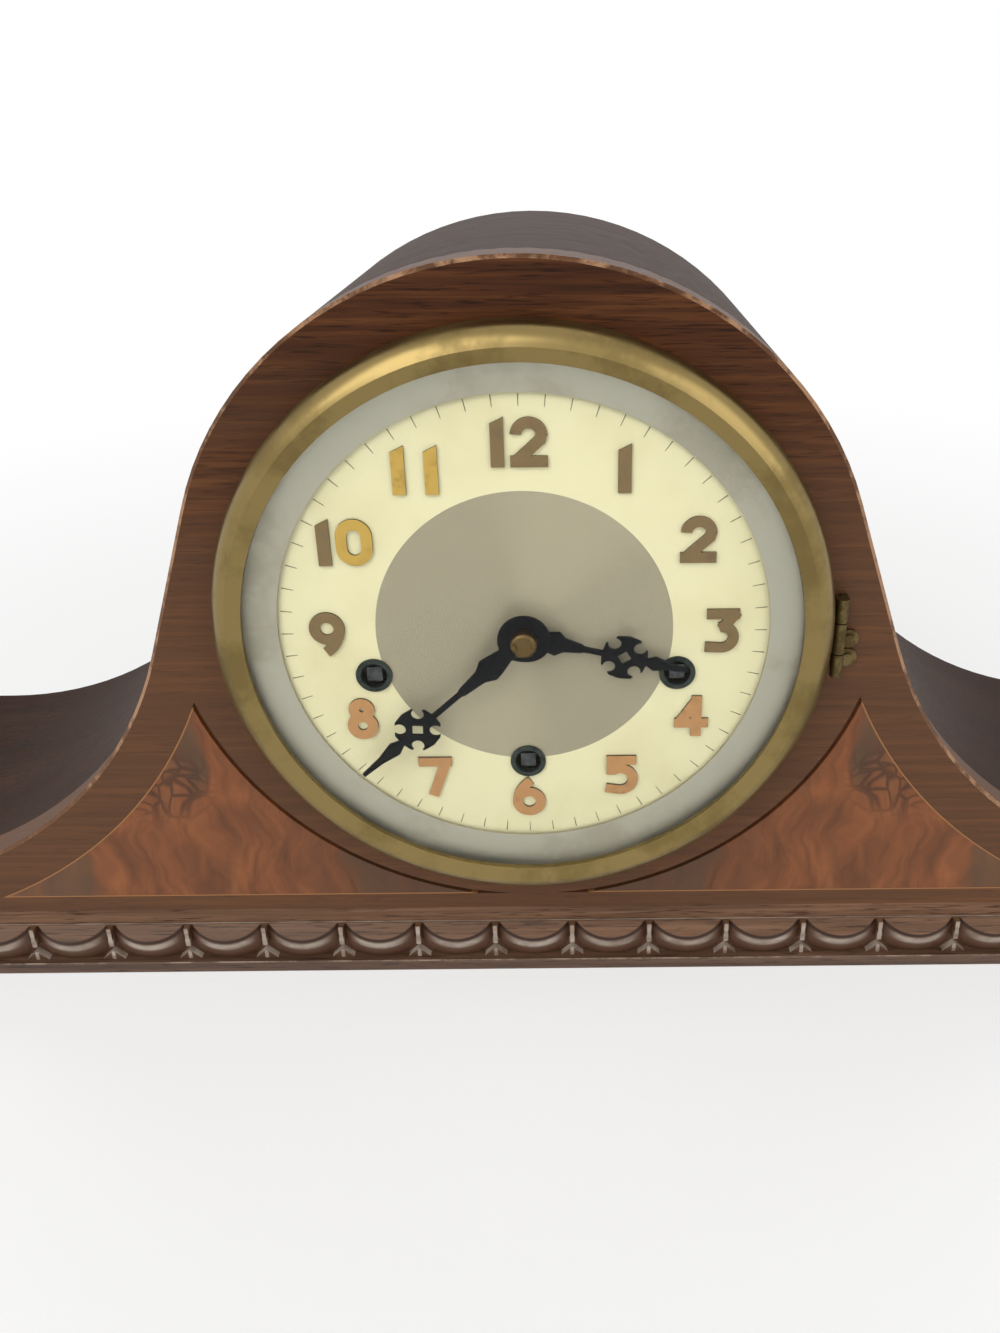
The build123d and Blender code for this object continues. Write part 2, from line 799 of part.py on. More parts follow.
with BuildPart() as door_leaves:
    for middle in door_hinge_heights:
        mid_foot = knuckle_feet(middle)[1]
        heights = (mid_foot, mid_foot + door_mid_length)
        leaf_depth = (door_rear, door_rear + door_leaf_thickness)
        block((door_axis_x, door_axis_x + door_leaf_width), leaf_depth, heights)
        upright(door_axis_x, door_axis_y, door_knuckle_radius, mid_foot, door_mid_length)
        bore = door_pin_radius + running_gap
        upright(door_axis_x, door_axis_y, bore, mid_foot, door_mid_length, Mode.SUBTRACT)
        corner = (door_axis_x, door_axis_x + door_knuckle_radius + overrun)
        block(corner, (door_rear - door_knuckle_radius - overrun, door_rear), heights, Mode.SUBTRACT)
keep(door_leaves, "door_leaves")

# Turn button: stands upright when the door is free, and turns across its edge to hold it
with BuildPart() as turn_button:
    button_front = door_rear + door_gap
    shaft(button_at, button_pin_radius, button_front, back_board_front)
    shaft(button_at, button_boss_radius, button_front, back_board_rear + door_gap)
    with BuildSketch(facing(button_front + button_thickness)):
        with Locations(Location((*button_at, 0), (0, 0, 90))):
            SlotOverall(button_length, button_width)
    extrude(amount=button_thickness)
keep(turn_button, "turn_button")

# Bezel: a spun brass shell with a rounded crest and a lip over the glass
with BuildPart() as bezel_ring:
    with BuildSketch(dial_section):
        with BuildLine():
            round_run = bezel_radius - bezel_crest_radius
            round_rise = bezel_crest_rise - bezel_flank_rise
            outer_foot = (bezel_radius, bezel_flank_rise)
            outer_mid = (
                bezel_crest_radius + round_run * bezel_round_share,
                bezel_flank_rise + round_rise * bezel_round_share,
            )
            outer_top = (bezel_crest_radius, bezel_crest_rise)
            inner_foot = (bezel_radius - bezel_sheet, bezel_flank_rise)
            inner_top = (bezel_crest_radius, bezel_crest_rise - bezel_sheet)
            shell_share = 1 - bezel_sheet / round_run
            inner_mid = (
                bezel_crest_radius + round_run * bezel_round_share * shell_share,
                bezel_flank_rise + (round_rise - bezel_sheet) * bezel_round_share,
            )
            ThreePointArc(outer_foot, outer_mid, outer_top)
            lip_front = (bezel_lip_radius, bezel_lip_rise)
            lip_back = (bezel_lip_radius, bezel_lip_rise - bezel_sheet)
            Polyline(outer_top, lip_front, lip_back, inner_top)
            ThreePointArc(inner_top, inner_mid, inner_foot)
            Polyline(inner_foot, (inner_foot[0], 0), (bezel_radius, 0), outer_foot)
        make_face()
    revolve(axis=dial_axis)
keep(bezel_ring, "bezel_ring")

# Glass: a shallow dome of even thickness under the bezel's lip
with BuildPart() as glass:
    with BuildSketch(dial_section):
        with BuildLine():
            dome_radius = (glass_radius**2 + glass_dome**2) / (2 * glass_dome)
            half_angle = degrees(atan2(glass_radius, dome_radius - glass_dome))
            dome_level = glass_seat_rise + glass_dome - dome_radius
            start = 90 - half_angle
            front_arc = CenterArc((0, dome_level), dome_radius, start, half_angle)
            back_arc = CenterArc((0, dome_level - glass_thickness), dome_radius, start, half_angle)
            Line(front_arc @ 0, back_arc @ 0)
            Line(front_arc @ 1, back_arc @ 1)
        make_face()
    revolve(axis=dial_axis)
keep(glass, "glass")

# Sight ring: a silvered cone between the glass and the dial
with BuildPart() as sight_ring:
    with BuildSketch(dial_section):
        with BuildLine():
            Polyline(
                (sight_inner_radius, sight_inner_rise),
                (glass_radius, sight_outer_rise),
                (glass_radius, sight_outer_rise - sight_thickness),
                (sight_inner_radius, sight_inner_rise - sight_thickness),
                close=True,
            )
        make_face()
    revolve(axis=dial_axis)
keep(sight_ring, "sight_ring")

# Bezel hinge: the leaf on the wood, with a round lobe for each screw, carries the pin
with BuildPart() as bezel_hinge_plate:
    leaf_span = (hinge_x, hinge_x + hinge_web_width)
    block(leaf_span, (hinge_leaf_front, front_y), (hinge_foot, hinge_top))
    for place in hinge_screws_at:
        shaft(place, hinge_lobe_radius, front_y, hinge_leaf_front)
    for foot in (hinge_foot, hinge_top_foot):
        upright(hinge_x, hinge_y, hinge_knuckle_radius, foot, hinge_knuckle_length)
        heights = (foot, foot + hinge_knuckle_length)
        block((hinge_x, hinge_x + hinge_web_width), (hinge_y, front_y), heights)
    upright(hinge_x, hinge_y, hinge_pin_radius, hinge_foot, hinge_top - hinge_foot)
    for place in hinge_screws_at:
        shaft(place, hinge_screw_radius, front_y, hinge_leaf_front, Mode.SUBTRACT)
keep(bezel_hinge_plate, "bezel_hinge_plate")

with BuildPart() as bezel_hinge_strap:
    strap_depth = (front_y - hinge_strap_high, front_y - hinge_strap_low)
    strap_heights = (hinge_mid_foot, hinge_mid_foot + hinge_mid_length)
    block((bezel_radius - hinge_axis_gap, hinge_x), strap_depth, strap_heights)
    shaft(dial_centre, bezel_radius, front_y, front_y - bezel_flank_rise, Mode.SUBTRACT)
    upright(hinge_x, hinge_y, hinge_knuckle_radius, hinge_mid_foot, hinge_mid_length)
    bore = hinge_pin_radius + running_gap
    upright(hinge_x, hinge_y, bore, hinge_mid_foot, hinge_mid_length, Mode.SUBTRACT)
keep(bezel_hinge_strap, "bezel_hinge_strap")

with BuildPart() as bezel_hinge_screws:
    for place in hinge_screws_at:
        shaft(place, hinge_screw_radius, hinge_leaf_front + hinge_screw_length, hinge_leaf_front)
        shaft(place, hinge_screw_head_radius, hinge_leaf_front, hinge_leaf_front - hinge_screw_head_rise)
keep(bezel_hinge_screws, "bezel_hinge_screws")

# Dial: a shallow pan on the front board, pierced for the hands and the three winding squares
winding_places = (strike_at, time_at, chime_at)
with BuildPart() as dial_plate:
    shaft(dial_centre, dial_radius, front_y, dial_front_y)
    dial_back_y = dial_front_y + dial_thickness
    shaft(dial_centre, dial_radius - dial_thickness, front_y, dial_back_y, Mode.SUBTRACT)
    shaft(dial_centre, dial_centre_hole, front_y, dial_front_y, Mode.SUBTRACT)
    for place in winding_places:
        shaft(place, bushing_outer, front_y, dial_front_y, Mode.SUBTRACT)
    for place in dial_screws_at:
        shaft(place, dial_screw_head_radius, front_y, dial_back_y)
        shaft(place, dial_screw_radius, front_y, dial_front_y, Mode.SUBTRACT)
keep(dial_plate, "dial_plate")

with BuildPart() as dial_screws:
    for place in dial_screws_at:
        shaft(place, dial_screw_radius, dial_screw_tip, dial_front_y)
        shaft(place, dial_screw_head_radius, dial_front_y, dial_front_y - dial_screw_head_rise)
keep(dial_screws, "dial_screws")

with BuildPart() as winding_bushings:
    for place in winding_places:
        flange_front = dial_front_y - bushing_flange_rise
        shaft(place, bushing_outer, dial_back_y, dial_front_y)
        shaft(place, bushing_flange, dial_front_y, flange_front)
        shaft(place, bushing_inner, dial_back_y, flange_front, Mode.SUBTRACT)
keep(winding_bushings, "winding_bushings")

# Numerals: each digit is a few strokes, straight or round, in shares of its width and height
digit_stroke_shares = {
    "0": (
        ((-0.5, 0.17), (0, 0.5), (0.5, 0.17)),
        ((0.5, 0.17), (0.5, -0.17)),
        ((0.5, -0.17), (0, -0.5), (-0.5, -0.17)),
        ((-0.5, -0.17), (-0.5, 0.17)),
    ),
    "2": (
        ((-0.5, 0.2), (0, 0.5), (0.5, 0.2)),
        ((0.5, 0.23), (0.4, 0)),
        ((0.45, 0.08), (-0.42, -0.45)),
        ((-0.72, -0.5), (0.72, -0.5)),
    ),
    "3": (
        ((-0.62, 0.5), (0.72, 0.5)),
        ((0.62, 0.56), (0, 0.06)),
        ((-0.1, 0.1), (0.5, -0.2), (0, -0.5)),
        ((0, -0.5), (-0.65, -0.48)),
    ),
    "4": (
        ((0.2, -0.64), (0.2, 0.64)),
        ((0.2, 0.5), (-0.5, -0.2)),
        ((-0.72, -0.22), (0.72, -0.22)),
    ),
    "5": (
        ((-0.64, 0.5), (0.64, 0.5)),
        ((-0.42, 0.6), (-0.42, 0.02)),
        ((-0.42, 0.12), (0.5, -0.18), (-0.05, -0.5)),
        ((-0.05, -0.5), (-0.66, -0.44)),
    ),
    "6": (
        ((-0.5, -0.17), (0, 0.16), (0.5, -0.17)),
        ((0.5, -0.17), (0, -0.5), (-0.5, -0.17)),
        ((-0.5, -0.17), (-0.34, 0.23), (0.1, 0.54)),
    ),
    "7": (
        ((-0.72, 0.5), (0.72, 0.5)),
        ((0.5, 0.58), (-0.15, -0.64)),
    ),
    "8": (
        ((-0.32, 0.29), (0, 0.5), (0.32, 0.29)),
        ((0.32, 0.29), (0, 0.08), (-0.32, 0.29)),
        ((-0.43, -0.22), (0, 0.06), (0.43, -0.22)),
        ((0.43, -0.22), (0, -0.5), (-0.43, -0.22)),
    ),
    "9": (
        ((-0.5, 0.17), (0, 0.5), (0.5, 0.17)),
        ((0.5, 0.17), (0, -0.16), (-0.5, 0.17)),
        ((0.5, 0.17), (0.34, -0.23), (-0.1, -0.54)),
    ),
}


def digit_width(digit):
    """Width that a digit takes up: the one is a bare upright."""
    return numeral_one_width if digit == "1" else numeral_width


def digit_places(hour):
    """Digits of an hour's numeral, each with its centre."""
    middle = polar_point(dial_centre, numeral_circle, 90 - 30 * hour)
    digits = str(hour)
    gap = numeral_twin_gap if digits == "11" else numeral_pair_gap
    total = sum(digit_width(digit) for digit in digits) + gap * (len(digits) - 1)
    left = middle[0] - total / 2
    places = []
    for digit in digits:
        places.append((digit, (left + digit_width(digit) / 2, middle[1])))
        left += digit_width(digit) + gap
    return places


digits_placed = [entry for hour in range(1, 13) for entry in digit_places(hour)]
with BuildPart() as numerals:
    stroke_span = numeral_width - numeral_stroke
    stroke_height = numeral_height - numeral_stroke
    for digit, centre in digits_placed:
        with BuildSketch(facing(dial_front_y)):
            if digit == "1":
                with BuildLine():
                    low = centre[1] - numeral_height / 2
                    right = centre[0] + numeral_one_width / 2
                    Polyline(
                        (right - numeral_one_width, low),
                        (right, low),
                        (right, low + numeral_height),
                        (right - numeral_one_width, low + numeral_height - numeral_one_slant),
                        close=True,
                    )
                make_face()
            for stroke in digit_stroke_shares.get(digit, ()):
                spots = [(centre[0] + stroke_span * dx, centre[1] + stroke_height * dz) for dx, dz in stroke]
                with BuildLine():
                    if len(spots) == 2:
                        Line(*spots)
                    else:
                        ThreePointArc(*spots)
                trace(line_width=numeral_stroke)
    extrude(amount=numeral_rise)
keep(numerals, "numerals")


def blade_points(stations):
    """Corners of a flat blade up the hand's middle line, from stations of reach and width."""
    right = [(width / 2, dial_height + reach) for reach, width in stations]
    return right + [(-x, z) for x, z in reversed(right)]


def cross_points(middle):
    """Corners of the pierced cross about a height: four flared arms with pointed ends."""
    shoulder = cross_shoulder_reach
    arm = ((-cross_shoulder_out, shoulder), (0, cross_reach), (cross_shoulder_out, shoulder))
    corners = []
    for turn in range(4):
        along, across = cos(pi / 2 * turn), sin(pi / 2 * turn)
        corners += [(x * along + z * across, middle + z * along - x * across) for x, z in arm]
    return corners


def hand_face(length, ornament, hub, rear):
    """Flat hand pointing up from the dial's centre: hub, leaf, stem, pierced cross and point."""
    stem = (
        (0, hand_neck_width),
        (ornament * hand_leaf_share, hand_leaf_width),
        (ornament * hand_waist_share, hand_waist_width),
        (ornament * hand_collar_share, hand_collar_width),
        (ornament * hand_collar_share, hand_stem_width),
        (ornament, hand_stem_width),
    )
    point_foot = ornament + cross_reach
    point_length = length - point_foot
    point = (
        (ornament + cross_shoulder_reach, hand_stem_width),
        (point_foot + point_length * point_leaf_share, point_leaf_width),
        (point_foot + point_length * point_waist_share, point_waist_width),
        (length, hand_tip_width),
    )
    with BuildSketch(facing(rear)) as face:
        with Locations(dial_centre):
            Circle(hub)
        with BuildLine():
            Polyline(*blade_points(stem), close=True)
        make_face()
        with BuildLine():
            Polyline(*blade_points(point), close=True)
        make_face()
        with BuildLine():
            Polyline(*cross_points(dial_height + ornament), close=True)
        make_face()
        with Locations((0, dial_height + ornament)):
            Rectangle(cross_eye_width, cross_eye_width, rotation=45, mode=Mode.SUBTRACT)
            with PolarLocations(cross_bite_reach, 4, start_angle=45):
                Circle(cross_bite_radius, mode=Mode.SUBTRACT)
    return face.sketch


def finish_hand(face, angle, bore, rear):
    """Turn a hand to its place on the dial, clockwise from twelve, and bore it for its pipe."""
    with BuildPart() as hand:
        extrude(face, amount=hand_thickness)
        shaft(dial_centre, bore, rear, rear - hand_thickness, Mode.SUBTRACT)
    hand.part = hand.part.rotate(dial_axis, angle)
    return hand


hour_hand_rear = front_y - hour_hand_rise
minute_hand_rear = front_y - minute_hand_rise
minute_hand_front = minute_hand_rear - hand_thickness
hour_face = hand_face(hour_hand_length, hour_ornament_reach, hour_hub_radius, hour_hand_rear)
hour_hand = finish_hand(hour_face, hour_hand_angle, hour_pipe_radius, hour_hand_rear)
keep(hour_hand, "hour_hand")
minute_face = hand_face(minute_hand_length, minute_ornament_reach, minute_hub_radius, minute_hand_rear)
minute_hand = finish_hand(minute_face, minute_hand_angle, cannon_radius, minute_hand_rear)
keep(minute_hand, "minute_hand")

# Hand nut: a round brass cap on the cannon pipe
centre_arbor_tip = minute_hand_front - nut_cap_gap
with BuildPart() as hand_nut:
    shaft(dial_centre, hand_nut_radius, minute_hand_front, minute_hand_front - hand_nut_length)
    fillet(hand_nut.faces().sort_by(Axis.Y)[0].edges(), hand_nut_round)
    nut_bore = centre_arbor_radius + running_gap
    shaft(dial_centre, nut_bore, minute_hand_front, centre_arbor_tip - nut_cap_gap, Mode.SUBTRACT)
keep(hand_nut, "hand_nut")

# Movement frame: two plates held apart by four pillars, on four feet behind the front board
pivot_places = (
    (intermediate_at, stout_pivot_radius),
    (third_at, pivot_radius),
    (escape_at, pivot_radius),
    (pallet_at, pivot_radius),
    (strike_wheel_at, stout_pivot_radius),
    (chime_wheel_at, stout_pivot_radius),
    (strike_fly_at, pivot_radius),
    (chime_fly_at, pivot_radius),
    (dial_centre, centre_arbor_radius),
)


def plate(half_width, front):
    """Movement plate with its pivot holes, as a block in the piece being built."""
    with BuildSketch(facing(front + plate_thickness)) as face:
        with Locations((0, dial_height + (plate_above - plate_below) / 2)):
            RectangleRounded(2 * half_width, plate_above + plate_below, plate_corner)
        for place, radius in pivot_places:
            with Locations(place):
                Circle(radius + running_gap, mode=Mode.SUBTRACT)
        for place in winding_places:
            with Locations(place):
                Circle(winding_arbor_radius + running_gap, mode=Mode.SUBTRACT)
    extrude(face.sketch, amount=plate_thickness)


motion_first_y = plate_front_y - motion_first_rise
motion_second_y = plate_front_y - motion_second_rise
stud_tip = motion_second_y - motion_thickness - minute_stud_cap_gap
with BuildPart() as front_plate:
    plate(front_plate_half_width, plate_front_y)
    shaft(minute_wheel_at, minute_stud_radius, plate_front_y, stud_tip)
    for place in feet_at:
        shaft(place, foot_radius, plate_front_y, board_back_y)
        shaft(place, foot_screw_radius, inner_front_y, board_back_y, Mode.SUBTRACT)
keep(front_plate, "front_plate")

# Back plate: it also carries the cock that the pendulum hangs from
cock_foot = pallet_at[1] + crutch_hub_radius + crutch_gap
with BuildPart() as back_plate:
    plate(back_plate_half_width, inner_back_y)
    shaft(chime_drum_at, stout_pivot_radius + running_gap, plate_back_y, inner_back_y, Mode.SUBTRACT)
    cock_rear = plate_back_y + cock_depth
    cock = (-cock_half_width, cock_half_width)
    block(cock, (plate_back_y, cock_rear), (cock_foot, cock_foot + cock_height))
    finger = (-cock_finger_half_width, cock_finger_half_width)
    block(finger, (cock_rear - cock_finger_depth, cock_rear), (pallet_at[1], cock_foot))
keep(back_plate, "back_plate")

with BuildPart() as pillars:
    for place in pillars_at:
        shaft(place, pillar_radius, inner_back_y, inner_front_y)
keep(pillars, "pillars")

with BuildPart() as movement_screws:
    for place in feet_at:
        shaft(place, foot_screw_radius, inner_front_y, foot_screw_tip)
        shaft(place, foot_screw_head_radius, inner_front_y + foot_screw_head_rise, inner_front_y)
keep(movement_screws, "movement_screws")


def winding_arbor(centre):
    """Winding arbor: a square for the key in the dial's hole, then a round arbor through both plates."""
    with BuildPart() as arbor:
        shaft(centre, winding_arbor_radius, plate_back_y, plate_front_y - plate_set_back)
        square_rear = plate_front_y - plate_set_back
        with BuildSketch(facing(square_rear)):
            with Locations(centre):
                Rectangle(winding_square, winding_square)
        extrude(amount=square_rear - dial_front_y - winding_square_set_back)
    return arbor


for centre, label in ((strike_at, "strike_arbor"), (time_at, "time_arbor"), (chime_at, "chime_arbor")):
    keep(winding_arbor(centre), label)


def barrel(centre, teeth, module, phase, wheel_front, drum_radius, drum_front, drum_length, cap_front):
    """Spring barrel: an open drum with its great wheel, turning freely on the winding arbor."""
    with BuildPart() as drum:
        shaft(centre, drum_radius, drum_front + drum_length, drum_front)
        shaft(centre, drum_radius - drum_wall, drum_front + drum_length, drum_front, Mode.SUBTRACT)
        shaft(centre, drum_radius, cap_front + drum_wall, cap_front)
        toothed(centre, teeth, module, phase, wheel_form_shares, wheel_front, great_thickness)
        ends = (drum_front, drum_front + drum_length, wheel_front, wheel_front + great_thickness)
        shaft(centre, barrel_hub_radius, max(ends), min(ends))
        shaft(centre, winding_arbor_radius + running_gap, max(ends), min(ends), Mode.SUBTRACT)
    return drum


# Phases of the wheels: every wheel starts at zero, and its pinion turns to suit the wheel that it meets
wheel_phase = 0.0
intermediate_pinion_phase = mesh_phase(time_at, great_teeth, intermediate_at, intermediate_leaves)
centre_pinion_phase = mesh_phase(intermediate_at, intermediate_teeth, dial_centre, centre_leaves)
third_pinion_phase = mesh_phase(dial_centre, centre_teeth, third_at, third_leaves)
escape_pinion_phase = mesh_phase(third_at, third_teeth, escape_at, escape_leaves)
minute_wheel_phase = mesh_phase(dial_centre, cannon_leaves, minute_wheel_at, minute_wheel_teeth)
hour_wheel_phase = mesh_phase(minute_wheel_at, minute_leaves, dial_centre, hour_wheel_teeth)

# Time train
great_front = inner_front_y + great_set_back
time_drum_front = great_front + great_thickness
keep(
    barrel(
        time_at, great_teeth, great_module, wheel_phase, great_front,
        time_drum_radius, time_drum_front, time_drum_length, time_drum_front,
    ),
    "time_barrel",
)

intermediate_front = inner_front_y + intermediate_set_back
with BuildPart() as intermediate_wheel:
    pivoted_arbor(intermediate_at, arbor_radius, stout_pivot_radius)
    toothed(
        intermediate_at, intermediate_leaves, great_module, intermediate_pinion_phase, pinion_form_shares,
        great_front - pinion_margin, great_thickness + 2 * pinion_margin,
    )
    toothed(
        intermediate_at, intermediate_teeth, intermediate_module, wheel_phase, wheel_form_shares,
        intermediate_front, wheel_thickness,
    )
keep(intermediate_wheel, "intermediate_wheel")

centre_front = inner_front_y + centre_set_back
with BuildPart() as centre_wheel:
    shaft(dial_centre, centre_arbor_radius, plate_back_y, centre_arbor_tip)
    shaft(dial_centre, stout_arbor_radius, inner_back_y - shoulder_gap, inner_front_y + shoulder_gap)
    toothed(
        dial_centre, centre_leaves, intermediate_module, centre_pinion_phase, pinion_form_shares,
        intermediate_front - pinion_margin, wheel_thickness + 2 * pinion_margin,
    )
    toothed(
        dial_centre, centre_teeth, centre_module, wheel_phase, wheel_form_shares,
        centre_front, wheel_thickness,
    )
keep(centre_wheel, "centre_wheel")

third_front = inner_front_y + third_set_back
with BuildPart() as third_wheel:
    pivoted_arbor(third_at, fine_arbor_radius, pivot_radius)
    toothed(
        third_at, third_leaves, centre_module, third_pinion_phase, pinion_form_shares,
        centre_front - pinion_margin, wheel_thickness + 2 * pinion_margin,
    )
    toothed(
        third_at, third_teeth, third_module, wheel_phase, wheel_form_shares,
        third_front, wheel_thickness,
    )
keep(third_wheel, "third_wheel")

escape_front = inner_front_y + escape_set_back
with BuildPart() as escape_wheel:
    pivoted_arbor(escape_at, fine_arbor_radius, pivot_radius)
    toothed(
        escape_at, escape_leaves, third_module, escape_pinion_phase, pinion_form_shares,
        third_front - pinion_margin, wheel_thickness + 2 * pinion_margin,
    )
    saw_disc(escape_at, escape_teeth, escape_radius, escape_tooth_depth, escape_front, wheel_thickness)
keep(escape_wheel, "escape_wheel")

# Pallets: a strip anchor over the escape wheel, on one arbor with the crutch behind the back plate
crutch_front = plate_back_y + crutch_gap
crutch_rear = crutch_front + crutch_thickness
pendulum_y = plate_back_y + pendulum_depth
crutch_low = pallet_at[1] - crutch_length
with BuildPart() as pallets:
    nib_inside = (pallet_span - pallet_arm_width) / 2
    nib_foot = escape_at[1] + sqrt((escape_radius + pallet_clearance) ** 2 - nib_inside**2)
    with BuildSketch(facing(escape_front + wheel_thickness)):
        with BuildLine():
            for side in (1, -1):
                nib = (side * pallet_span / 2, nib_foot + pallet_clearance)
                Polyline(pallet_at, (nib[0], nib[1] + pallet_nib_length), nib)
        trace(line_width=pallet_arm_width)
        with Locations(pallet_at):
            Circle(crutch_hub_radius)
    extrude(amount=wheel_thickness)
    shaft(pallet_at, fine_arbor_radius, inner_back_y - shoulder_gap, inner_front_y + shoulder_gap)
    shaft(pallet_at, pivot_radius, crutch_rear, plate_front_y)
    shaft(pallet_at, crutch_hub_radius, crutch_rear, crutch_front)
    block((-crutch_width / 2, crutch_width / 2), (crutch_front, crutch_rear), (crutch_low, pallet_at[1]))
    prong_x = pendulum_rod_radius + hanging_gap
    prong_heights = (crutch_low - crutch_width, crutch_low)
    block((-prong_x - crutch_prong, prong_x + crutch_prong), (crutch_front, crutch_rear), prong_heights)
    for side in (1, -1):
        prong = sorted((side * prong_x, side * (prong_x + crutch_prong)))
        block(prong, (crutch_front, pendulum_y + pendulum_rod_radius), prong_heights)
keep(pallets, "pallets")

# Pendulum: a flat suspension spring, a rod, a lens-shaped bob and its rating nut
spring_top = pallet_at[1] - hanging_gap
bob_z = pallet_at[1] - pendulum_length
rod_top = spring_top - spring_length
rod_foot = bob_z - bob_radius - rating_nut_height - rod_tail
with BuildPart() as pendulum_rod:
    spring_depth = (pendulum_y - spring_width / 2, pendulum_y + spring_width / 2)
    block((-spring_thickness / 2, spring_thickness / 2), spring_depth, (rod_top, spring_top))
    upright(0, pendulum_y, pendulum_rod_radius, rod_foot, rod_top - rod_foot)
keep(pendulum_rod, "pendulum_rod")

with BuildPart() as pendulum_bob:
    with BuildSketch(Plane(origin=(0, pendulum_y, bob_z), x_dir=(1, 0, 0), z_dir=(0, 0, -1))):
        with BuildLine():
            rim = bob_edge / 2
            crown = bob_thickness / 2
            Polyline((0, -crown), (0, crown))
            lens_mid = (bob_radius / 2, rim + (crown - rim) * bob_swell_share)
            ThreePointArc((0, crown), lens_mid, (bob_radius, rim))
            Line((bob_radius, rim), (bob_radius, -rim))
            ThreePointArc((bob_radius, -rim), (lens_mid[0], -lens_mid[1]), (0, -crown))
        make_face()
    revolve(axis=Axis((0, 0, bob_z), (0, 1, 0)))
    upright(0, pendulum_y, pendulum_rod_radius, bob_z - bob_radius, 2 * bob_radius, Mode.SUBTRACT)
keep(pendulum_bob, "pendulum_bob")

with BuildPart() as rating_nut:
    nut_foot = bob_z - bob_radius - rating_nut_height
    upright(0, pendulum_y, rating_nut_radius, nut_foot, rating_nut_height)
    upright(0, pendulum_y, pendulum_rod_radius, nut_foot, rating_nut_height, Mode.SUBTRACT)
keep(rating_nut, "rating_nut")

# Motion work: cannon pinion, minute wheel and hour wheel between the front plate and the dial
with BuildPart() as cannon_pinion:
    cannon_rear = plate_front_y - motion_gap
    shaft(dial_centre, cannon_radius, cannon_rear, minute_hand_front)
    toothed(
        dial_centre, cannon_leaves, minute_wheel_module, wheel_phase, pinion_form_shares,
        motion_first_y - motion_thickness, motion_thickness,
    )
    shaft(dial_centre, centre_arbor_radius + running_gap, cannon_rear, minute_hand_front, Mode.SUBTRACT)
keep(cannon_pinion, "cannon_pinion")

with BuildPart() as minute_wheel:
    toothed(
        minute_wheel_at, minute_wheel_teeth, minute_wheel_module, minute_wheel_phase, wheel_form_shares,
        motion_first_y - motion_thickness, motion_thickness,
    )
    toothed(
        minute_wheel_at, minute_leaves, hour_module, wheel_phase, pinion_form_shares,
        motion_second_y - motion_thickness, motion_first_y - motion_second_y,
    )
    collar_rear = plate_front_y - motion_gap
    shaft(minute_wheel_at, minute_collar_radius, collar_rear, motion_first_y)
    stud_bore = minute_stud_radius + running_gap
    shaft(minute_wheel_at, stud_bore, collar_rear, motion_second_y - motion_thickness, Mode.SUBTRACT)
keep(minute_wheel, "minute_wheel")

with BuildPart() as hour_wheel:
    toothed(
        dial_centre, hour_wheel_teeth, hour_module, hour_wheel_phase, wheel_form_shares,
        motion_second_y - motion_thickness, motion_thickness,
    )
    pipe_front = hour_hand_rear - hand_thickness
    shaft(dial_centre, hour_pipe_radius, motion_second_y, pipe_front)
    shaft(dial_centre, cannon_radius + running_gap, motion_second_y, pipe_front, Mode.SUBTRACT)
keep(hour_wheel, "hour_wheel")

# Strike and chime trains: barrel, second wheel and fly on each side of the movement
side_drum_front = inner_front_y + side_drum_set_back
side_great_front = side_drum_front + side_drum_length
side_wheel_front = inner_front_y + side_wheel_set_back
fly_front = inner_front_y + fly_set_back
ratio_gear_front = plate_back_y + pinion_margin
drum_phase = mesh_phase(chime_wheel_at, drum_gear_teeth, chime_drum_at, drum_gear_teeth)


def second_wheel(centre, pinion_phase, geared):
    """Second wheel of a side train, whose arbor carries the drum's gear behind the back plate if geared."""
    with BuildPart() as wheel:
        toothed(
            centre, side_leaves, side_great_module, pinion_phase, pinion_form_shares,
            side_great_front - pinion_margin, great_thickness + 2 * pinion_margin,
        )
        toothed(
            centre, side_wheel_teeth, side_wheel_module, wheel_phase, wheel_form_shares,
            side_wheel_front, wheel_thickness,
        )
        pivoted_arbor(centre, stout_arbor_radius, stout_pivot_radius)
        if geared:
            gear_rear = ratio_gear_front + wheel_thickness
            toothed(
                centre, drum_gear_teeth, drum_gear_module, wheel_phase, wheel_form_shares,
                ratio_gear_front, wheel_thickness,
            )
            shaft(centre, stout_pivot_radius, gear_rear, inner_back_y)
    return wheel


def fly(centre, pinion_phase):
    """Air brake of a side train: a pinion and a flat fan on one arbor."""
    with BuildPart() as fan:
        toothed(
            centre, fly_leaves, side_wheel_module, pinion_phase, pinion_form_shares,
            side_wheel_front - pinion_margin, wheel_thickness + 2 * pinion_margin,
        )
        pivoted_arbor(centre, fine_arbor_radius, pivot_radius)
        span = (centre[0] - fly_radius, centre[0] + fly_radius)
        heights = (centre[1] - fly_thickness / 2, centre[1] + fly_thickness / 2)
        block(span, (fly_front, fly_front + fly_length), heights)
    return fan


side_trains = (
    ("strike", strike_at, strike_wheel_at, strike_fly_at, False),
    ("chime", chime_at, chime_wheel_at, chime_fly_at, True),
)
for name, barrel_at, wheel_at, fan_at, geared in side_trains:
    wheel_pinion_phase = mesh_phase(barrel_at, side_great_teeth, wheel_at, side_leaves)
    fan_phase = mesh_phase(wheel_at, side_wheel_teeth, fan_at, fly_leaves)
    drum_cap = side_drum_front + side_drum_length - drum_wall
    side_barrel = barrel(
        barrel_at, side_great_teeth, side_great_module, wheel_phase, side_great_front,
        side_drum_radius, side_drum_front, side_drum_length, drum_cap,
    )
    keep(side_barrel, f"{name}_barrel")
    keep(second_wheel(wheel_at, wheel_pinion_phase, geared), f"{name}_wheel")
    keep(fly(fan_at, fan_phase), f"{name}_fly")

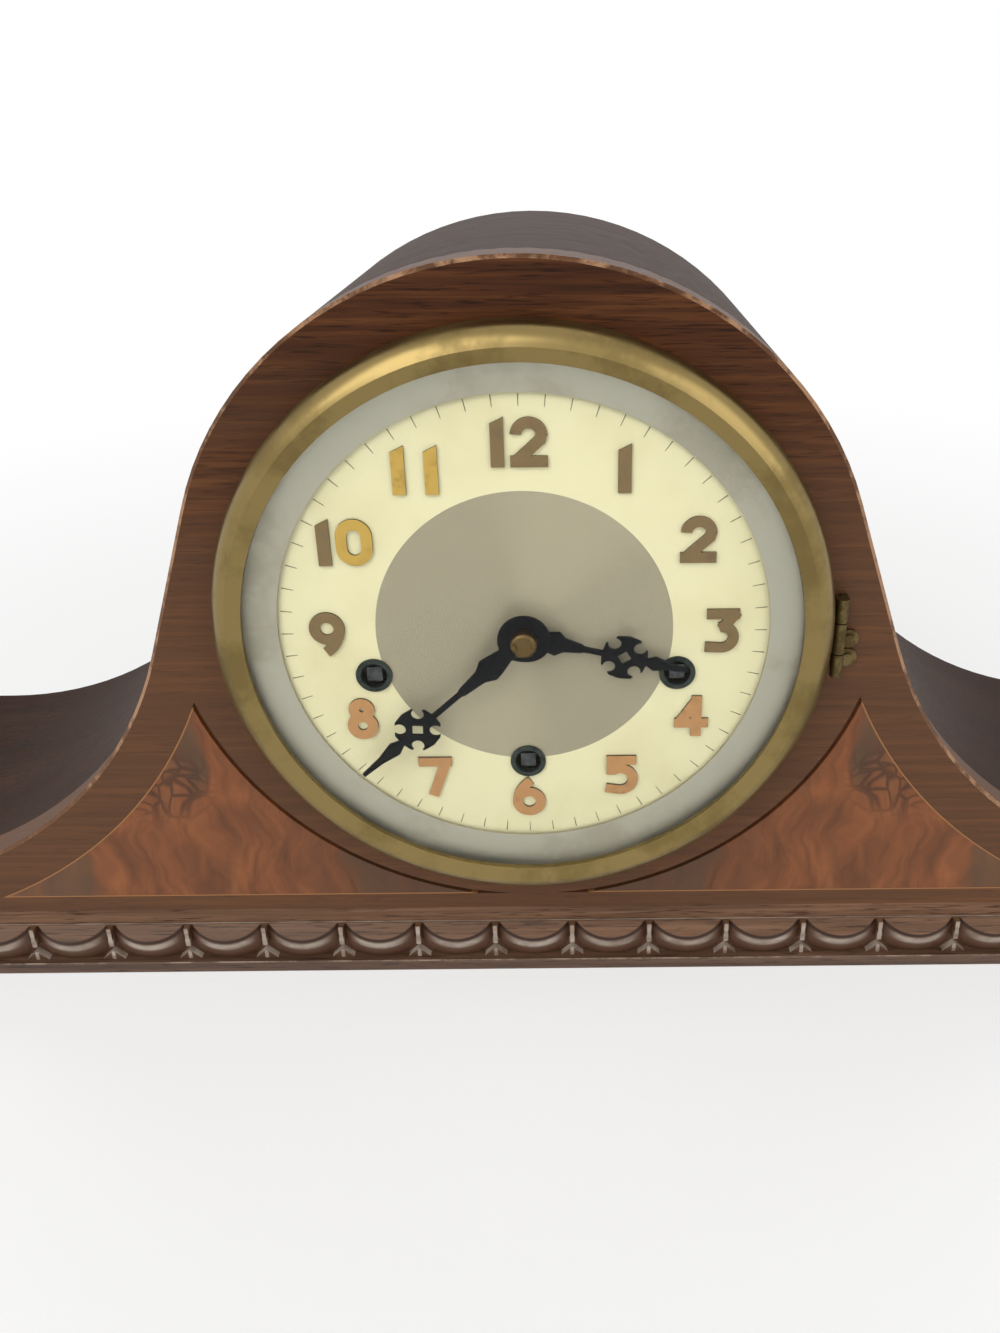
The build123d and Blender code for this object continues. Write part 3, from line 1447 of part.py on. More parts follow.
# Chime drum: five toothed discs on one arbor, one for each hammer
hammer_depths = [plate_back_y + hammer_first + hammer_pitch * turn for turn in range(chime_count)]
bracket_front = plate_back_y + bracket_set_back
bracket_rear = bracket_front + bracket_thickness
with BuildPart() as chime_drum:
    toothed(
        chime_drum_at, drum_gear_teeth, drum_gear_module, drum_phase, wheel_form_shares,
        ratio_gear_front, wheel_thickness,
    )
    shaft(chime_drum_at, chime_core_radius, bracket_front - shoulder_gap, ratio_gear_front)
    shaft(chime_drum_at, stout_pivot_radius, bracket_rear, inner_back_y)
    for depth in hammer_depths:
        disc_front = depth - chime_disc_thickness / 2
        disc_tip = chime_disc_radius + chime_disc_tooth
        saw_disc(
            chime_drum_at, chime_disc_teeth, disc_tip, chime_disc_tooth, disc_front, chime_disc_thickness
        )
keep(chime_drum, "chime_drum")

# Hammer bracket: a rear plate on two posts, with the arbor that the hammers turn on
with BuildPart() as hammer_bracket:
    with BuildSketch(facing(bracket_rear)):
        for place in (*bracket_posts, hammer_at, chime_drum_at):
            with Locations(place):
                Circle(bracket_rim)
        make_hull()
        with Locations(chime_drum_at):
            Circle(stout_pivot_radius + running_gap, mode=Mode.SUBTRACT)
    extrude(amount=bracket_thickness)
    for place in bracket_posts:
        shaft(place, bracket_post_radius, bracket_front, plate_back_y)
    shaft(hammer_at, hammer_arbor_radius, bracket_front, plate_back_y)
keep(hammer_bracket, "hammer_bracket")

# Hammers: each an arm with a tail for the drum and a head above its rod
rod_z = base_top + rod_height
head_foot = rod_z + rod_radius + hammer_rest_gap
for turn, depth in enumerate(hammer_depths):
    with BuildPart() as hammer:
        head_z = head_foot + hammer_head_length / 2
        with BuildSketch(facing(depth + hammer_arm_thickness / 2)):
            with BuildLine():
                tail = (hammer_tail_out, dial_height - hammer_tail_drop)
                Polyline(tail, hammer_at, (hammer_head_out, head_z))
            trace(line_width=hammer_arm_width)
        extrude(amount=hammer_arm_thickness)
        shaft(hammer_at, hammer_hub_radius, depth + hammer_hub_length / 2, depth - hammer_hub_length / 2)
        upright(hammer_head_out, depth, hammer_head_radius, head_foot, hammer_head_length)
        bore = hammer_arbor_radius + running_gap
        shaft(hammer_at, bore, depth + hammer_hub_length / 2, depth - hammer_hub_length / 2, Mode.SUBTRACT)
    keep(hammer, f"hammer_{turn + 1}")

# Chime rods of falling length, held in a cast-iron block on the base
with BuildPart() as chime_rods:
    for turn, depth in enumerate(hammer_depths):
        length = rod_longest - rod_step * turn
        with BuildSketch(Plane.YZ.offset(rod_block_start - length)):
            with Locations((depth, rod_z)):
                Circle(rod_radius)
        extrude(amount=length)
keep(chime_rods, "chime_rods")

with BuildPart() as rod_block:
    block_depth = (hammer_depths[0] - rod_block_margin, hammer_depths[-1] + rod_block_margin)
    block_span = (rod_block_start, rod_block_start + rod_block_length)
    block(block_span, block_depth, (base_top, base_top + rod_block_height))
keep(rod_block, "rod_block")
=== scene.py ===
"""Looks of a tambour mantel clock: veneered case, brass bezel, enamelled dial and chiming movement."""

import logging
import math
from dataclasses import dataclass, field
from enum import Enum

import bpy
from mathutils import Matrix, Vector


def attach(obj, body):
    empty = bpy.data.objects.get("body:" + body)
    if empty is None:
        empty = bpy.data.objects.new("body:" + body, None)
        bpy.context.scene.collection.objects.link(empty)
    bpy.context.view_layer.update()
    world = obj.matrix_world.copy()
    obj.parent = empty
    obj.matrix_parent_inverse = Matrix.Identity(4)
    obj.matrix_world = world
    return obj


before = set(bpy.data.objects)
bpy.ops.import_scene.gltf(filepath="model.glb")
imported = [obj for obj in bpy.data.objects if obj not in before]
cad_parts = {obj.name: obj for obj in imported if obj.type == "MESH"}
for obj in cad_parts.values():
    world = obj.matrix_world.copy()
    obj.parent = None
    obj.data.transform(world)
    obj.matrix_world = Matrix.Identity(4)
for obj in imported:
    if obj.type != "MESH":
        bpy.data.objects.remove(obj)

LOG = logging.getLogger("mantel_clock")
MM = 0.001
Tree = bpy.types.NodeTree
Socket = bpy.types.NodeSocket
Inputs = dict[str | int, object]


def linear(colour: str) -> tuple[float, float, float, float]:
    """Turn an sRGB hex colour into linear light.

    Args:
        colour: Six hex digits after a hash.

    Returns:
        Red, green, blue and an alpha of one.
    """
    parts = [int(colour[place:place + 2], 16) / 255 for place in (1, 3, 5)]
    lit = [part / 12.92 if part <= 0.04045 else ((part + 0.055) / 1.055) ** 2.4 for part in parts]
    return (lit[0], lit[1], lit[2], 1.0)


def add_node(
    tree: Tree, kind: str, settings: dict[str, object] | None = None, links: Inputs | None = None
) -> bpy.types.Node:
    """Add a node, give it its settings, and link or set its inputs.

    Args:
        tree: Node tree that takes the node.
        kind: Blender's name for the node.
        settings: Properties of the node; "stops" are a ramp's places and hex colours.
        links: Inputs by name or number, each a socket to link or a value to set.

    Returns:
        The new node.
    """
    node = tree.nodes.new(kind)
    for name, value in (settings or {}).items():
        if name == "stops":
            while len(node.color_ramp.elements) < len(value):
                node.color_ramp.elements.new(1.0)
            for element, (place, colour) in zip(node.color_ramp.elements, value):
                element.position = place
                element.color = linear(colour)
        else:
            setattr(node, name, value)
    for key, value in (links or {}).items():
        if isinstance(value, Socket):
            tree.links.new(value, node.inputs[key])
        else:
            node.inputs[key].default_value = value
    return node


class Grain(Enum):
    """Axis that a wood's grain runs along."""

    X = 0
    Y = 1
    Z = 2


@dataclass(frozen=True)
class Finish:
    """A surface, named for what the real one is made of, with the record's slot that it stands for."""

    name: str
    slot: str

    def surface(self, tree: Tree) -> Inputs:
        """Give the shader's inputs.

        Args:
            tree: Node tree of the material.

        Returns:
            Inputs of the principled shader.
        """
        raise NotImplementedError

    def material(self) -> bpy.types.Material:
        """Give the finish's material, made the first time that it is asked for.

        Returns:
            The material.
        """
        made = bpy.data.materials.get(self.name)
        if made is None:
            made = bpy.data.materials.new(self.name)
            made.use_nodes = True
            tree = made.node_tree
            tree.nodes.clear()
            shader = add_node(tree, "ShaderNodeBsdfPrincipled", links=self.surface(tree))
            self.close(tree, shader)
        return made

    def close(self, tree: Tree, shader: bpy.types.Node) -> None:
        """Lead the shader to the material's output.

        Args:
            tree: Node tree of the material.
            shader: The principled shader.
        """
        add_node(tree, "ShaderNodeOutputMaterial", links={"Surface": shader.outputs[0]})


@dataclass(frozen=True)
class Wood(Finish):
    """Planed wood under varnish: long bands of tone, short dark pores, paler towards the foot."""

    dark: str
    middle: str
    light: str
    grain: Grain = Grain.X
    band_length: float = 48.0
    band_width: float = 1.7
    pore_length: float = 8.0
    pore_width: float = 0.45
    pore_depth: float = 0.6
    roughness: float = 0.42
    gloss: float = 0.2
    worn: str = ""
    # height of the top arris, whose pale line is worn wood and painted highlight
    arris_height: float = 0.0
    low_tone: str = ""
    fade: float = 0.42
    fade_foot: float = 95.0
    fade_head: float = 168.0
    fade_break: float = 60.0
    pore_tone: str = "#3a2418"
    shade_width: float = 22.0
    wear_patch: float = 9.0
    arris: tuple[float, float] = (0.7, 0.2)

    def stretched(self, tree: Tree, length: float, width: float) -> Socket:
        """Give coordinates in which one unit is a length along the grain and a width across it, in mm.

        Args:
            tree: Node tree of the material.
            length: Length along the grain.
            width: Width across the grain.

        Returns:
            The stretched coordinates.
        """
        place = add_node(tree, "ShaderNodeTexCoord")
        scale = [1 / (width * MM)] * 3
        scale[self.grain.value] = 1 / (length * MM)
        return add_node(
            tree, "ShaderNodeMapping", links={"Vector": place.outputs["Object"], "Scale": scale}
        ).outputs[0]

    def surface(self, tree: Tree) -> Inputs:
        """Give the shader's inputs: tone from the bands, darkened by pores, paler where the edges are worn.

        Args:
            tree: Node tree of the material.

        Returns:
            Inputs of the principled shader.
        """
        bands = add_node(
            tree, "ShaderNodeTexNoise",
            links={"Vector": self.stretched(tree, self.band_length, self.band_width), "Scale": 1.0,
                   "Detail": 5.0, "Roughness": 0.6, "Distortion": 0.35},
        )
        tone = add_node(
            tree, "ShaderNodeValToRGB",
            {"stops": [(0.30, self.dark), (0.50, self.middle), (0.72, self.light)]},
            {"Fac": bands.outputs["Fac"]},
        )
        pores = add_node(
            tree, "ShaderNodeTexNoise",
            links={"Vector": self.stretched(tree, self.pore_length, self.pore_width), "Scale": 1.0,
                   "Detail": 2.0, "Roughness": 0.5},
        )
        pore = add_node(
            tree, "ShaderNodeMapRange", {"interpolation_type": "SMOOTHSTEP"},
            {"Value": pores.outputs["Fac"], "From Min": 0.54, "From Max": 0.70, "To Max": self.pore_depth},
        )
        pored = add_node(
            tree, "ShaderNodeMix", {"data_type": "RGBA", "blend_type": "MULTIPLY"},
            {0: pore.outputs[0], 6: tone.outputs[0], 7: linear(self.pore_tone)},
        )
        slow = add_node(
            tree, "ShaderNodeTexNoise",
            links={"Vector": self.stretched(tree, 3 * self.band_length, self.shade_width), "Scale": 1.0,
                   "Detail": 2.0},
        )
        shade = add_node(
            tree, "ShaderNodeMapRange",
            links={"Value": slow.outputs["Fac"], "From Min": 0.3, "From Max": 0.7,
                   "To Min": 0.8, "To Max": 1.18},
        )
        colour = add_node(
            tree, "ShaderNodeVectorMath", {"operation": "SCALE"},
            {0: pored.outputs[2], "Scale": shade.outputs[0]},
        ).outputs[0]
        rough = add_node(
            tree, "ShaderNodeMapRange",
            links={"Value": bands.outputs["Fac"], "From Min": 0.3, "From Max": 0.7,
                   "To Min": self.roughness - 0.06, "To Max": self.roughness + 0.08},
        )
        bump = add_node(
            tree, "ShaderNodeBump", {"invert": True},
            {"Strength": 0.25, "Distance": 0.06 * MM, "Height": pore.outputs[0]},
        )
        if self.low_tone:
            colour = self.paled_low(tree, colour, slow.outputs["Fac"])
        if self.worn:
            colour = self.worn_edges(tree, colour)
        return {
            "Base Color": colour, "Roughness": rough.outputs[0], "Normal": bump.outputs[0],
            "Specular IOR Level": self.gloss,
        }

    def paled_low(
        self, tree: Tree, colour: Socket, patches: Socket
    ) -> Socket:
        """Pale the wood towards its foot, unevenly.

        Args:
            tree: Node tree of the material.
            colour: Colour of the sound surface.
            patches: Slow noise that breaks up the change.

        Returns:
            Colour with the thin varnish.
        """
        place = add_node(tree, "ShaderNodeTexCoord")
        parts = add_node(tree, "ShaderNodeSeparateXYZ", links={0: place.outputs["Object"]})
        height = add_node(
            tree, "ShaderNodeMath", {"operation": "MULTIPLY_ADD"},
            {0: patches, 1: self.fade_break * MM, 2: parts.outputs["Z"]},
        )
        paling = add_node(
            tree, "ShaderNodeMapRange", {"interpolation_type": "SMOOTHSTEP"},
            {"Value": height.outputs[0], "From Min": (self.fade_foot + self.fade_break / 2) * MM,
             "From Max": (self.fade_head + self.fade_break / 2) * MM, "To Min": self.fade, "To Max": 0.0},
        )
        return add_node(
            tree, "ShaderNodeMix", {"data_type": "RGBA"},
            {0: paling.outputs[0], 6: colour, 7: linear(self.low_tone)},
        ).outputs[2]

    def worn_edges(self, tree: Tree, colour: Socket) -> Socket:
        """Lay bare wood along the bevelled edges and the top arris, broken up by what is left of the varnish; the
        pale line on the top arris is also a painted highlight of the lit edge.

        Args:
            tree: Node tree of the material.
            colour: Colour of the sound surface.

        Returns:
            Colour with the worn edges.
        """
        normal = add_node(tree, "ShaderNodeNewGeometry")
        parts = add_node(tree, "ShaderNodeSeparateXYZ", links={0: normal.outputs["True Normal"]})
        facing = add_node(tree, "ShaderNodeMath", {"operation": "ABSOLUTE"}, {0: parts.outputs["Y"]})
        slant = add_node(
            tree, "ShaderNodeMapRange", {"interpolation_type": "SMOOTHSTEP"},
            {"Value": facing.outputs[0], "From Min": 0.3, "From Max": 0.6},
        )
        flat = add_node(
            tree, "ShaderNodeMapRange", {"interpolation_type": "SMOOTHSTEP"},
            {"Value": facing.outputs[0], "From Min": 0.8, "From Max": 0.95, "To Min": 1.0, "To Max": 0.0},
        )
        patches = add_node(
            tree, "ShaderNodeTexNoise",
            links={"Vector": self.stretched(tree, self.wear_patch, self.wear_patch), "Scale": 1.0,
                   "Detail": 5.0, "Roughness": 0.7},
        )
        left = add_node(
            tree, "ShaderNodeMapRange", {"interpolation_type": "SMOOTHSTEP"},
            {"Value": patches.outputs["Fac"], "From Min": 0.44, "From Max": 0.60,
             "To Min": 0.1, "To Max": 0.75},
        )
        edge = add_node(
            tree, "ShaderNodeMath", {"operation": "MULTIPLY"}, {0: slant.outputs[0], 1: flat.outputs[0]}
        )
        # pale line on the top arris: worn wood and painted highlight of the lit edge
        if self.arris_height:
            place = add_node(tree, "ShaderNodeTexCoord")
            height = add_node(tree, "ShaderNodeSeparateXYZ", links={0: place.outputs["Object"]})
            arris = add_node(
                tree, "ShaderNodeMapRange", {"interpolation_type": "SMOOTHSTEP"},
                {"Value": height.outputs["Z"], "From Min": (self.arris_height - self.arris[0]) * MM,
                 "From Max": (self.arris_height - self.arris[1]) * MM},
            )
            upright = add_node(
                tree, "ShaderNodeMath", {"operation": "MULTIPLY"}, {0: arris.outputs[0], 1: facing.outputs[0]}
            )
            edge = add_node(
                tree, "ShaderNodeMath", {"operation": "MAXIMUM"}, {0: edge.outputs[0], 1: upright.outputs[0]}
            )
        mask = add_node(
            tree, "ShaderNodeMath", {"operation": "MULTIPLY"}, {0: edge.outputs[0], 1: left.outputs[0]}
        )
        return add_node(
            tree, "ShaderNodeMix", {"data_type": "RGBA"},
            {0: mask.outputs[0], 6: colour, 7: linear(self.worn)},
        ).outputs[2]


@dataclass(frozen=True)
class Burl(Finish):
    """Burl veneer, book-matched about the middle: warped figure, upright streaks, eyes and a pale line."""

    dark: str
    middle: str
    light: str
    olive: str
    line: str
    sweep_centre: tuple[float, float] = (176.6, 121.47)
    sweep_reach: float = 108.77
    foot: float = 21.5
    line_width: float = 0.32
    eyes_at: tuple[float, float] = (88.0, 56.0)
    eyes_reach: tuple[float, float] = (6.0, 15.0)
    eye_size: float = 3.6
    eye_tone: str = "#3d2415"
    swirl_size: float = 22.0
    figure_size: tuple[float, float] = (6.0, 17.0)
    streak_size: tuple[float, float] = (3.0, 36.0)
    flame_size: tuple[float, float] = (15.0, 90.0)
    inner_shade: tuple[float, float] = (24.0, 78.0)
    inner_tone: str = "#4d3220"

    def surface(self, tree: Tree) -> Inputs:
        """Give the shader's inputs from the mirrored place on the panel.

        Args:
            tree: Node tree of the material.

        Returns:
            Inputs of the principled shader.
        """
        place = add_node(tree, "ShaderNodeTexCoord")
        parts = add_node(tree, "ShaderNodeSeparateXYZ", links={0: place.outputs["Object"]})
        out = add_node(tree, "ShaderNodeMath", {"operation": "ABSOLUTE"}, {0: parts.outputs["X"]})
        folded = add_node(
            tree, "ShaderNodeCombineXYZ", links={"X": out.outputs[0], "Z": parts.outputs["Z"]}
        )
        swirl = add_node(
            tree, "ShaderNodeTexNoise",
            links={"Vector": folded.outputs[0], "Scale": 1 / (self.swirl_size * MM), "Detail": 2.0},
        )
        shift = add_node(
            tree, "ShaderNodeVectorMath", {"operation": "MULTIPLY_ADD"},
            {0: swirl.outputs["Color"],
             1: (self.swirl_size * MM, 0, self.swirl_size * MM), 2: folded.outputs[0]},
        )
        layers = ((self.figure_size, 6.0, 0.55), (self.streak_size, 3.0, 0.5), (self.flame_size, 2.0, 0.5))
        noises = []
        for (wide, tall), detail, roughness in layers:
            drawn = add_node(
                tree, "ShaderNodeMapping",
                links={"Vector": shift.outputs[0], "Scale": (1 / (wide * MM), 1.0, 1 / (tall * MM))},
            )
            noises.append(add_node(
                tree, "ShaderNodeTexNoise",
                links={"Vector": drawn.outputs[0], "Scale": 1.0, "Detail": detail, "Roughness": roughness},
            ).outputs["Fac"])
        figure, streaks, flames = noises
        tone = add_node(
            tree, "ShaderNodeValToRGB",
            {"stops": [(0.28, self.dark), (0.50, self.middle), (0.72, self.light)]}, {"Fac": figure},
        )
        streak = add_node(
            tree, "ShaderNodeMapRange", {"interpolation_type": "SMOOTHSTEP"},
            {"Value": streaks, "From Min": 0.52, "From Max": 0.72, "To Max": 0.55},
        )
        flame = add_node(
            tree, "ShaderNodeMapRange", {"interpolation_type": "SMOOTHSTEP"},
            {"Value": flames, "From Min": 0.44, "From Max": 0.6, "To Max": 0.7},
        )
        eyes = add_node(
            tree, "ShaderNodeTexVoronoi", {"feature": "DISTANCE_TO_EDGE"},
            {"Vector": shift.outputs[0], "Scale": 1 / (self.eye_size * MM)},
        )
        eye = add_node(
            tree, "ShaderNodeMapRange", {"interpolation_type": "SMOOTHSTEP"},
            {"Value": eyes.outputs["Distance"], "From Min": 0.02, "From Max": 0.2,
             "To Min": 0.7, "To Max": 0.0},
        )
        away = add_node(
            tree, "ShaderNodeVectorMath", {"operation": "DISTANCE"},
            {0: folded.outputs[0], 1: (self.eyes_at[0] * MM, 0, self.eyes_at[1] * MM)},
        )
        near = add_node(
            tree, "ShaderNodeMapRange", {"interpolation_type": "SMOOTHSTEP"},
            {"Value": away.outputs["Value"], "From Min": self.eyes_reach[0] * MM,
             "From Max": self.eyes_reach[1] * MM, "To Min": 1.0, "To Max": 0.03},
        )
        eyed = add_node(
            tree, "ShaderNodeMath", {"operation": "MULTIPLY"}, {0: eye.outputs[0], 1: near.outputs[0]}
        )
        inward = add_node(
            tree, "ShaderNodeMapRange", {"interpolation_type": "SMOOTHSTEP"},
            {"Value": out.outputs[0], "From Min": self.inner_shade[0] * MM,
             "From Max": self.inner_shade[1] * MM, "To Min": 0.55, "To Max": 0.0},
        )
        reach = add_node(
            tree, "ShaderNodeVectorMath", {"operation": "DISTANCE"},
            {0: folded.outputs[0], 1: (self.sweep_centre[0] * MM, 0, self.sweep_centre[1] * MM)},
        )
        over = add_node(
            tree, "ShaderNodeMath", {"operation": "SUBTRACT"},
            {0: reach.outputs["Value"], 1: self.sweep_reach * MM},
        )
        above = add_node(
            tree, "ShaderNodeMath", {"operation": "SUBTRACT"}, {0: parts.outputs["Z"], 1: self.foot * MM}
        )
        edge = add_node(
            tree, "ShaderNodeMath", {"operation": "MINIMUM"}, {0: over.outputs[0], 1: above.outputs[0]}
        )
        strung = add_node(
            tree, "ShaderNodeMath", {"operation": "LESS_THAN"},
            {0: edge.outputs[0], 1: self.line_width * MM},
        )
        coats = (
            (streak, self.dark), (flame, self.olive), (eyed, self.eye_tone), (inward, self.inner_tone),
            (strung, self.line),
        )
        colour = tone.outputs[0]
        for mask, shade in coats:
            colour = add_node(
                tree, "ShaderNodeMix", {"data_type": "RGBA"},
                {0: mask.outputs[0], 6: colour, 7: linear(shade)},
            ).outputs[2]
        bump = add_node(
            tree, "ShaderNodeBump",
            links={"Strength": 0.15, "Distance": 0.05 * MM, "Height": figure},
        )
        return {
            "Base Color": colour, "Roughness": 0.38, "Normal": bump.outputs[0],
            "Specular IOR Level": 0.3,
        }


@dataclass(frozen=True)
class Moulding(Wood):
    """Carved wood: matt on its sloping top, with painted shade just under its top edge and painted highlights on
    the rounds, the darts and the feet.
    """

    # colours: painted shade under the top edge, the rounds' own tone, and painted highlight
    brow_shade: str = "#3a281e"
    round: str = "#5c4031"
    highlight_tone: str = "#b0a294"
    front: float = 48.0
    side: float = 186.0
    backing: float = 0.6
    top: float = 12.8
    slope: float = 45.0
    pitch: float = 19.642
    face_rise: tuple[float, float] = (0.1, 0.4)
    brow_rise: tuple[float, float] = (0.1, 0.35)
    brow_fall: tuple[float, float] = (0.8, 1.7)
    round_rise: tuple[float, float] = (0.9, 2.4)
    highlight_belt_rise: tuple[float, float] = (1.0, 2.0)
    highlight_belt_fall: tuple[float, float] = (2.7, 4.3)
    dart_rise: tuple[float, float] = (1.4, 1.7)
    dart_share: float = 0.024
    tilt: float = 0.45
    highlight_patch_size: tuple[float, float] = (7.0, 2.5)

    def span(
        self, tree: Tree, value: Socket, rise: tuple[float, float],
        fall: tuple[float, float] = (1000.0, 1001.0),
    ) -> Socket:
        """Give a soft mask of where a length lies between two others, in mm.

        Args:
            tree: Node tree of the material.
            value: The length.
            rise: Where the mask starts and is full.
            fall: Where it begins to fade and is gone.

        Returns:
            The mask.
        """
        up = add_node(
            tree, "ShaderNodeMapRange", {"interpolation_type": "SMOOTHSTEP"},
            {"Value": value, "From Min": rise[0] * MM, "From Max": rise[1] * MM},
        )
        down = add_node(
            tree, "ShaderNodeMapRange", {"interpolation_type": "SMOOTHSTEP"},
            {"Value": value, "From Min": fall[0] * MM, "From Max": fall[1] * MM,
             "To Min": 1.0, "To Max": 0.0},
        )
        return add_node(
            tree, "ShaderNodeMath", {"operation": "MULTIPLY"}, {0: up.outputs[0], 1: down.outputs[0]}
        ).outputs[0]

    def surface(self, tree: Tree) -> Inputs:
        """Give the wood's inputs with painted shade and painted highlights, placed by how proud the carving stands
        and how far below its top edge it lies.

        Args:
            tree: Node tree of the material.

        Returns:
            Inputs of the principled shader.
        """
        inputs = super().surface(tree)
        place = add_node(tree, "ShaderNodeTexCoord")
        parts = add_node(tree, "ShaderNodeSeparateXYZ", links={0: place.outputs["Object"]})
        out = add_node(tree, "ShaderNodeMath", {"operation": "ABSOLUTE"}, {0: parts.outputs["X"]})
        ahead = add_node(
            tree, "ShaderNodeMath", {"operation": "SUBTRACT"},
            {0: -(self.front + self.backing) * MM, 1: parts.outputs["Y"]},
        )
        aside = add_node(
            tree, "ShaderNodeMath", {"operation": "SUBTRACT"},
            {0: out.outputs[0], 1: (self.side + self.backing) * MM},
        )
        proud = add_node(
            tree, "ShaderNodeMath", {"operation": "MAXIMUM"}, {0: ahead.outputs[0], 1: aside.outputs[0]}
        )
        edge = add_node(
            tree, "ShaderNodeMath", {"operation": "MULTIPLY_ADD"},
            {0: proud.outputs[0], 1: -math.tan(math.radians(self.slope)), 2: self.top * MM},
        )
        below = add_node(
            tree, "ShaderNodeMath", {"operation": "SUBTRACT"}, {0: edge.outputs[0], 1: parts.outputs["Z"]}
        ).outputs[0]
        face = self.span(tree, below, self.face_rise)
        # painted shade: a dark band just under the top edge of each round
        shaded = self.span(tree, below, self.brow_rise, self.brow_fall)
        # painted highlight: crescents across the proud middle of each round, a little below its top edge
        middle = self.span(tree, proud.outputs[0], self.round_rise)
        highlight_belt = self.span(tree, below, self.highlight_belt_rise, self.highlight_belt_fall)
        highlight_crescent = add_node(tree, "ShaderNodeMath", {"operation": "MULTIPLY"}, {0: highlight_belt, 1: middle})
        # painted highlight: a thin pale line down the front of each dart
        step = add_node(
            tree, "ShaderNodeMath", {"operation": "MULTIPLY_ADD"},
            {0: parts.outputs["X"], 1: 1 / (self.pitch * MM), 2: 0.5},
        )
        near = add_node(tree, "ShaderNodeMath", {"operation": "PINGPONG"}, {0: step.outputs[0], 1: 0.5})
        on_dart = add_node(
            tree, "ShaderNodeMath", {"operation": "LESS_THAN"}, {0: near.outputs[0], 1: self.dart_share}
        )
        dart_front = self.span(tree, proud.outputs[0], self.dart_rise)
        dart_highlight = add_node(
            tree, "ShaderNodeMath", {"operation": "MULTIPLY"}, {0: on_dart.outputs[0], 1: dart_front}
        )
        # painted highlight on the upward-looking faces below the top edge, the feet
        normal = add_node(tree, "ShaderNodeNewGeometry")
        upward = add_node(tree, "ShaderNodeSeparateXYZ", links={0: normal.outputs["True Normal"]})
        tilted = add_node(
            tree, "ShaderNodeMath", {"operation": "GREATER_THAN"}, {0: upward.outputs["Z"], 1: self.tilt}
        )
        foot = add_node(tree, "ShaderNodeMath", {"operation": "MULTIPLY"}, {0: tilted.outputs[0], 1: face})
        edges = add_node(
            tree, "ShaderNodeMath", {"operation": "MAXIMUM"}, {0: dart_highlight.outputs[0], 1: foot.outputs[0]}
        )
        # all painted highlights together, broken into patches of uneven strength
        painted_highlights = add_node(
            tree, "ShaderNodeMath", {"operation": "MAXIMUM"}, {0: edges.outputs[0], 1: highlight_crescent.outputs[0]}
        )
        patches = add_node(
            tree, "ShaderNodeTexNoise",
            links={"Vector": self.stretched(tree, *self.highlight_patch_size), "Scale": 1.0, "Detail": 3.0},
        )
        left = add_node(
            tree, "ShaderNodeMapRange",
            links={"Value": patches.outputs["Fac"], "From Min": 0.3, "From Max": 0.65,
                   "To Min": 0.35, "To Max": 1.0},
        )
        patchy_highlights = add_node(
            tree, "ShaderNodeMath", {"operation": "MULTIPLY"}, {0: painted_highlights.outputs[0], 1: left.outputs[0]}
        )
        # the rounds' own tone, then painted shade, then painted highlight
        colour = inputs["Base Color"]
        for mask, tone in ((face, self.round), (shaded, self.brow_shade), (patchy_highlights.outputs[0], self.highlight_tone)):
            colour = add_node(
                tree, "ShaderNodeMix", {"data_type": "RGBA"}, {0: mask, 6: colour, 7: linear(tone)}
            ).outputs[2]
        inputs["Base Color"] = colour
        return inputs


@dataclass(frozen=True)
class Metal(Finish):
    """Metal with a film of tarnish in soft patches and a fine uneven polish."""

    base: str
    tarnish: str
    tarnish_share: float = 0.3
    patch: float = 9.0
    roughness: float = 0.3
    scratch: float = 0.4

    def surface(self, tree: Tree) -> Inputs:
        """Give the shader's inputs: clean metal, dulled and browned where it is tarnished.

        Args:
            tree: Node tree of the material.

        Returns:
            Inputs of the principled shader.
        """
        place = add_node(tree, "ShaderNodeTexCoord")
        patches = add_node(
            tree, "ShaderNodeTexNoise",
            links={"Vector": place.outputs["Object"], "Scale": 1 / (self.patch * MM), "Detail": 6.0,
                   "Roughness": 0.65},
        )
        film = add_node(
            tree, "ShaderNodeMapRange", {"interpolation_type": "SMOOTHSTEP"},
            {"Value": patches.outputs["Fac"], "From Min": 0.62 - self.tarnish_share / 2,
             "From Max": 0.78 - self.tarnish_share / 2, "To Max": 0.8},
        )
        colour = add_node(
            tree, "ShaderNodeMix", {"data_type": "RGBA"},
            {0: film.outputs[0], 6: linear(self.base), 7: linear(self.tarnish)},
        )
        fine = add_node(
            tree, "ShaderNodeTexNoise",
            links={"Vector": place.outputs["Object"], "Scale": 1 / (self.scratch * MM), "Detail": 2.0},
        )
        rough = add_node(
            tree, "ShaderNodeMath", {"operation": "MULTIPLY_ADD"},
            {0: film.outputs[0], 1: 0.22, 2: self.roughness},
        )
        bump = add_node(
            tree, "ShaderNodeBump",
            links={"Strength": 0.08, "Distance": 0.02 * MM, "Height": fine.outputs["Fac"]},
        )
        return {
            "Base Color": colour.outputs[2], "Metallic": 1.0, "Roughness": rough.outputs[0],
            "Normal": bump.outputs[0],
        }


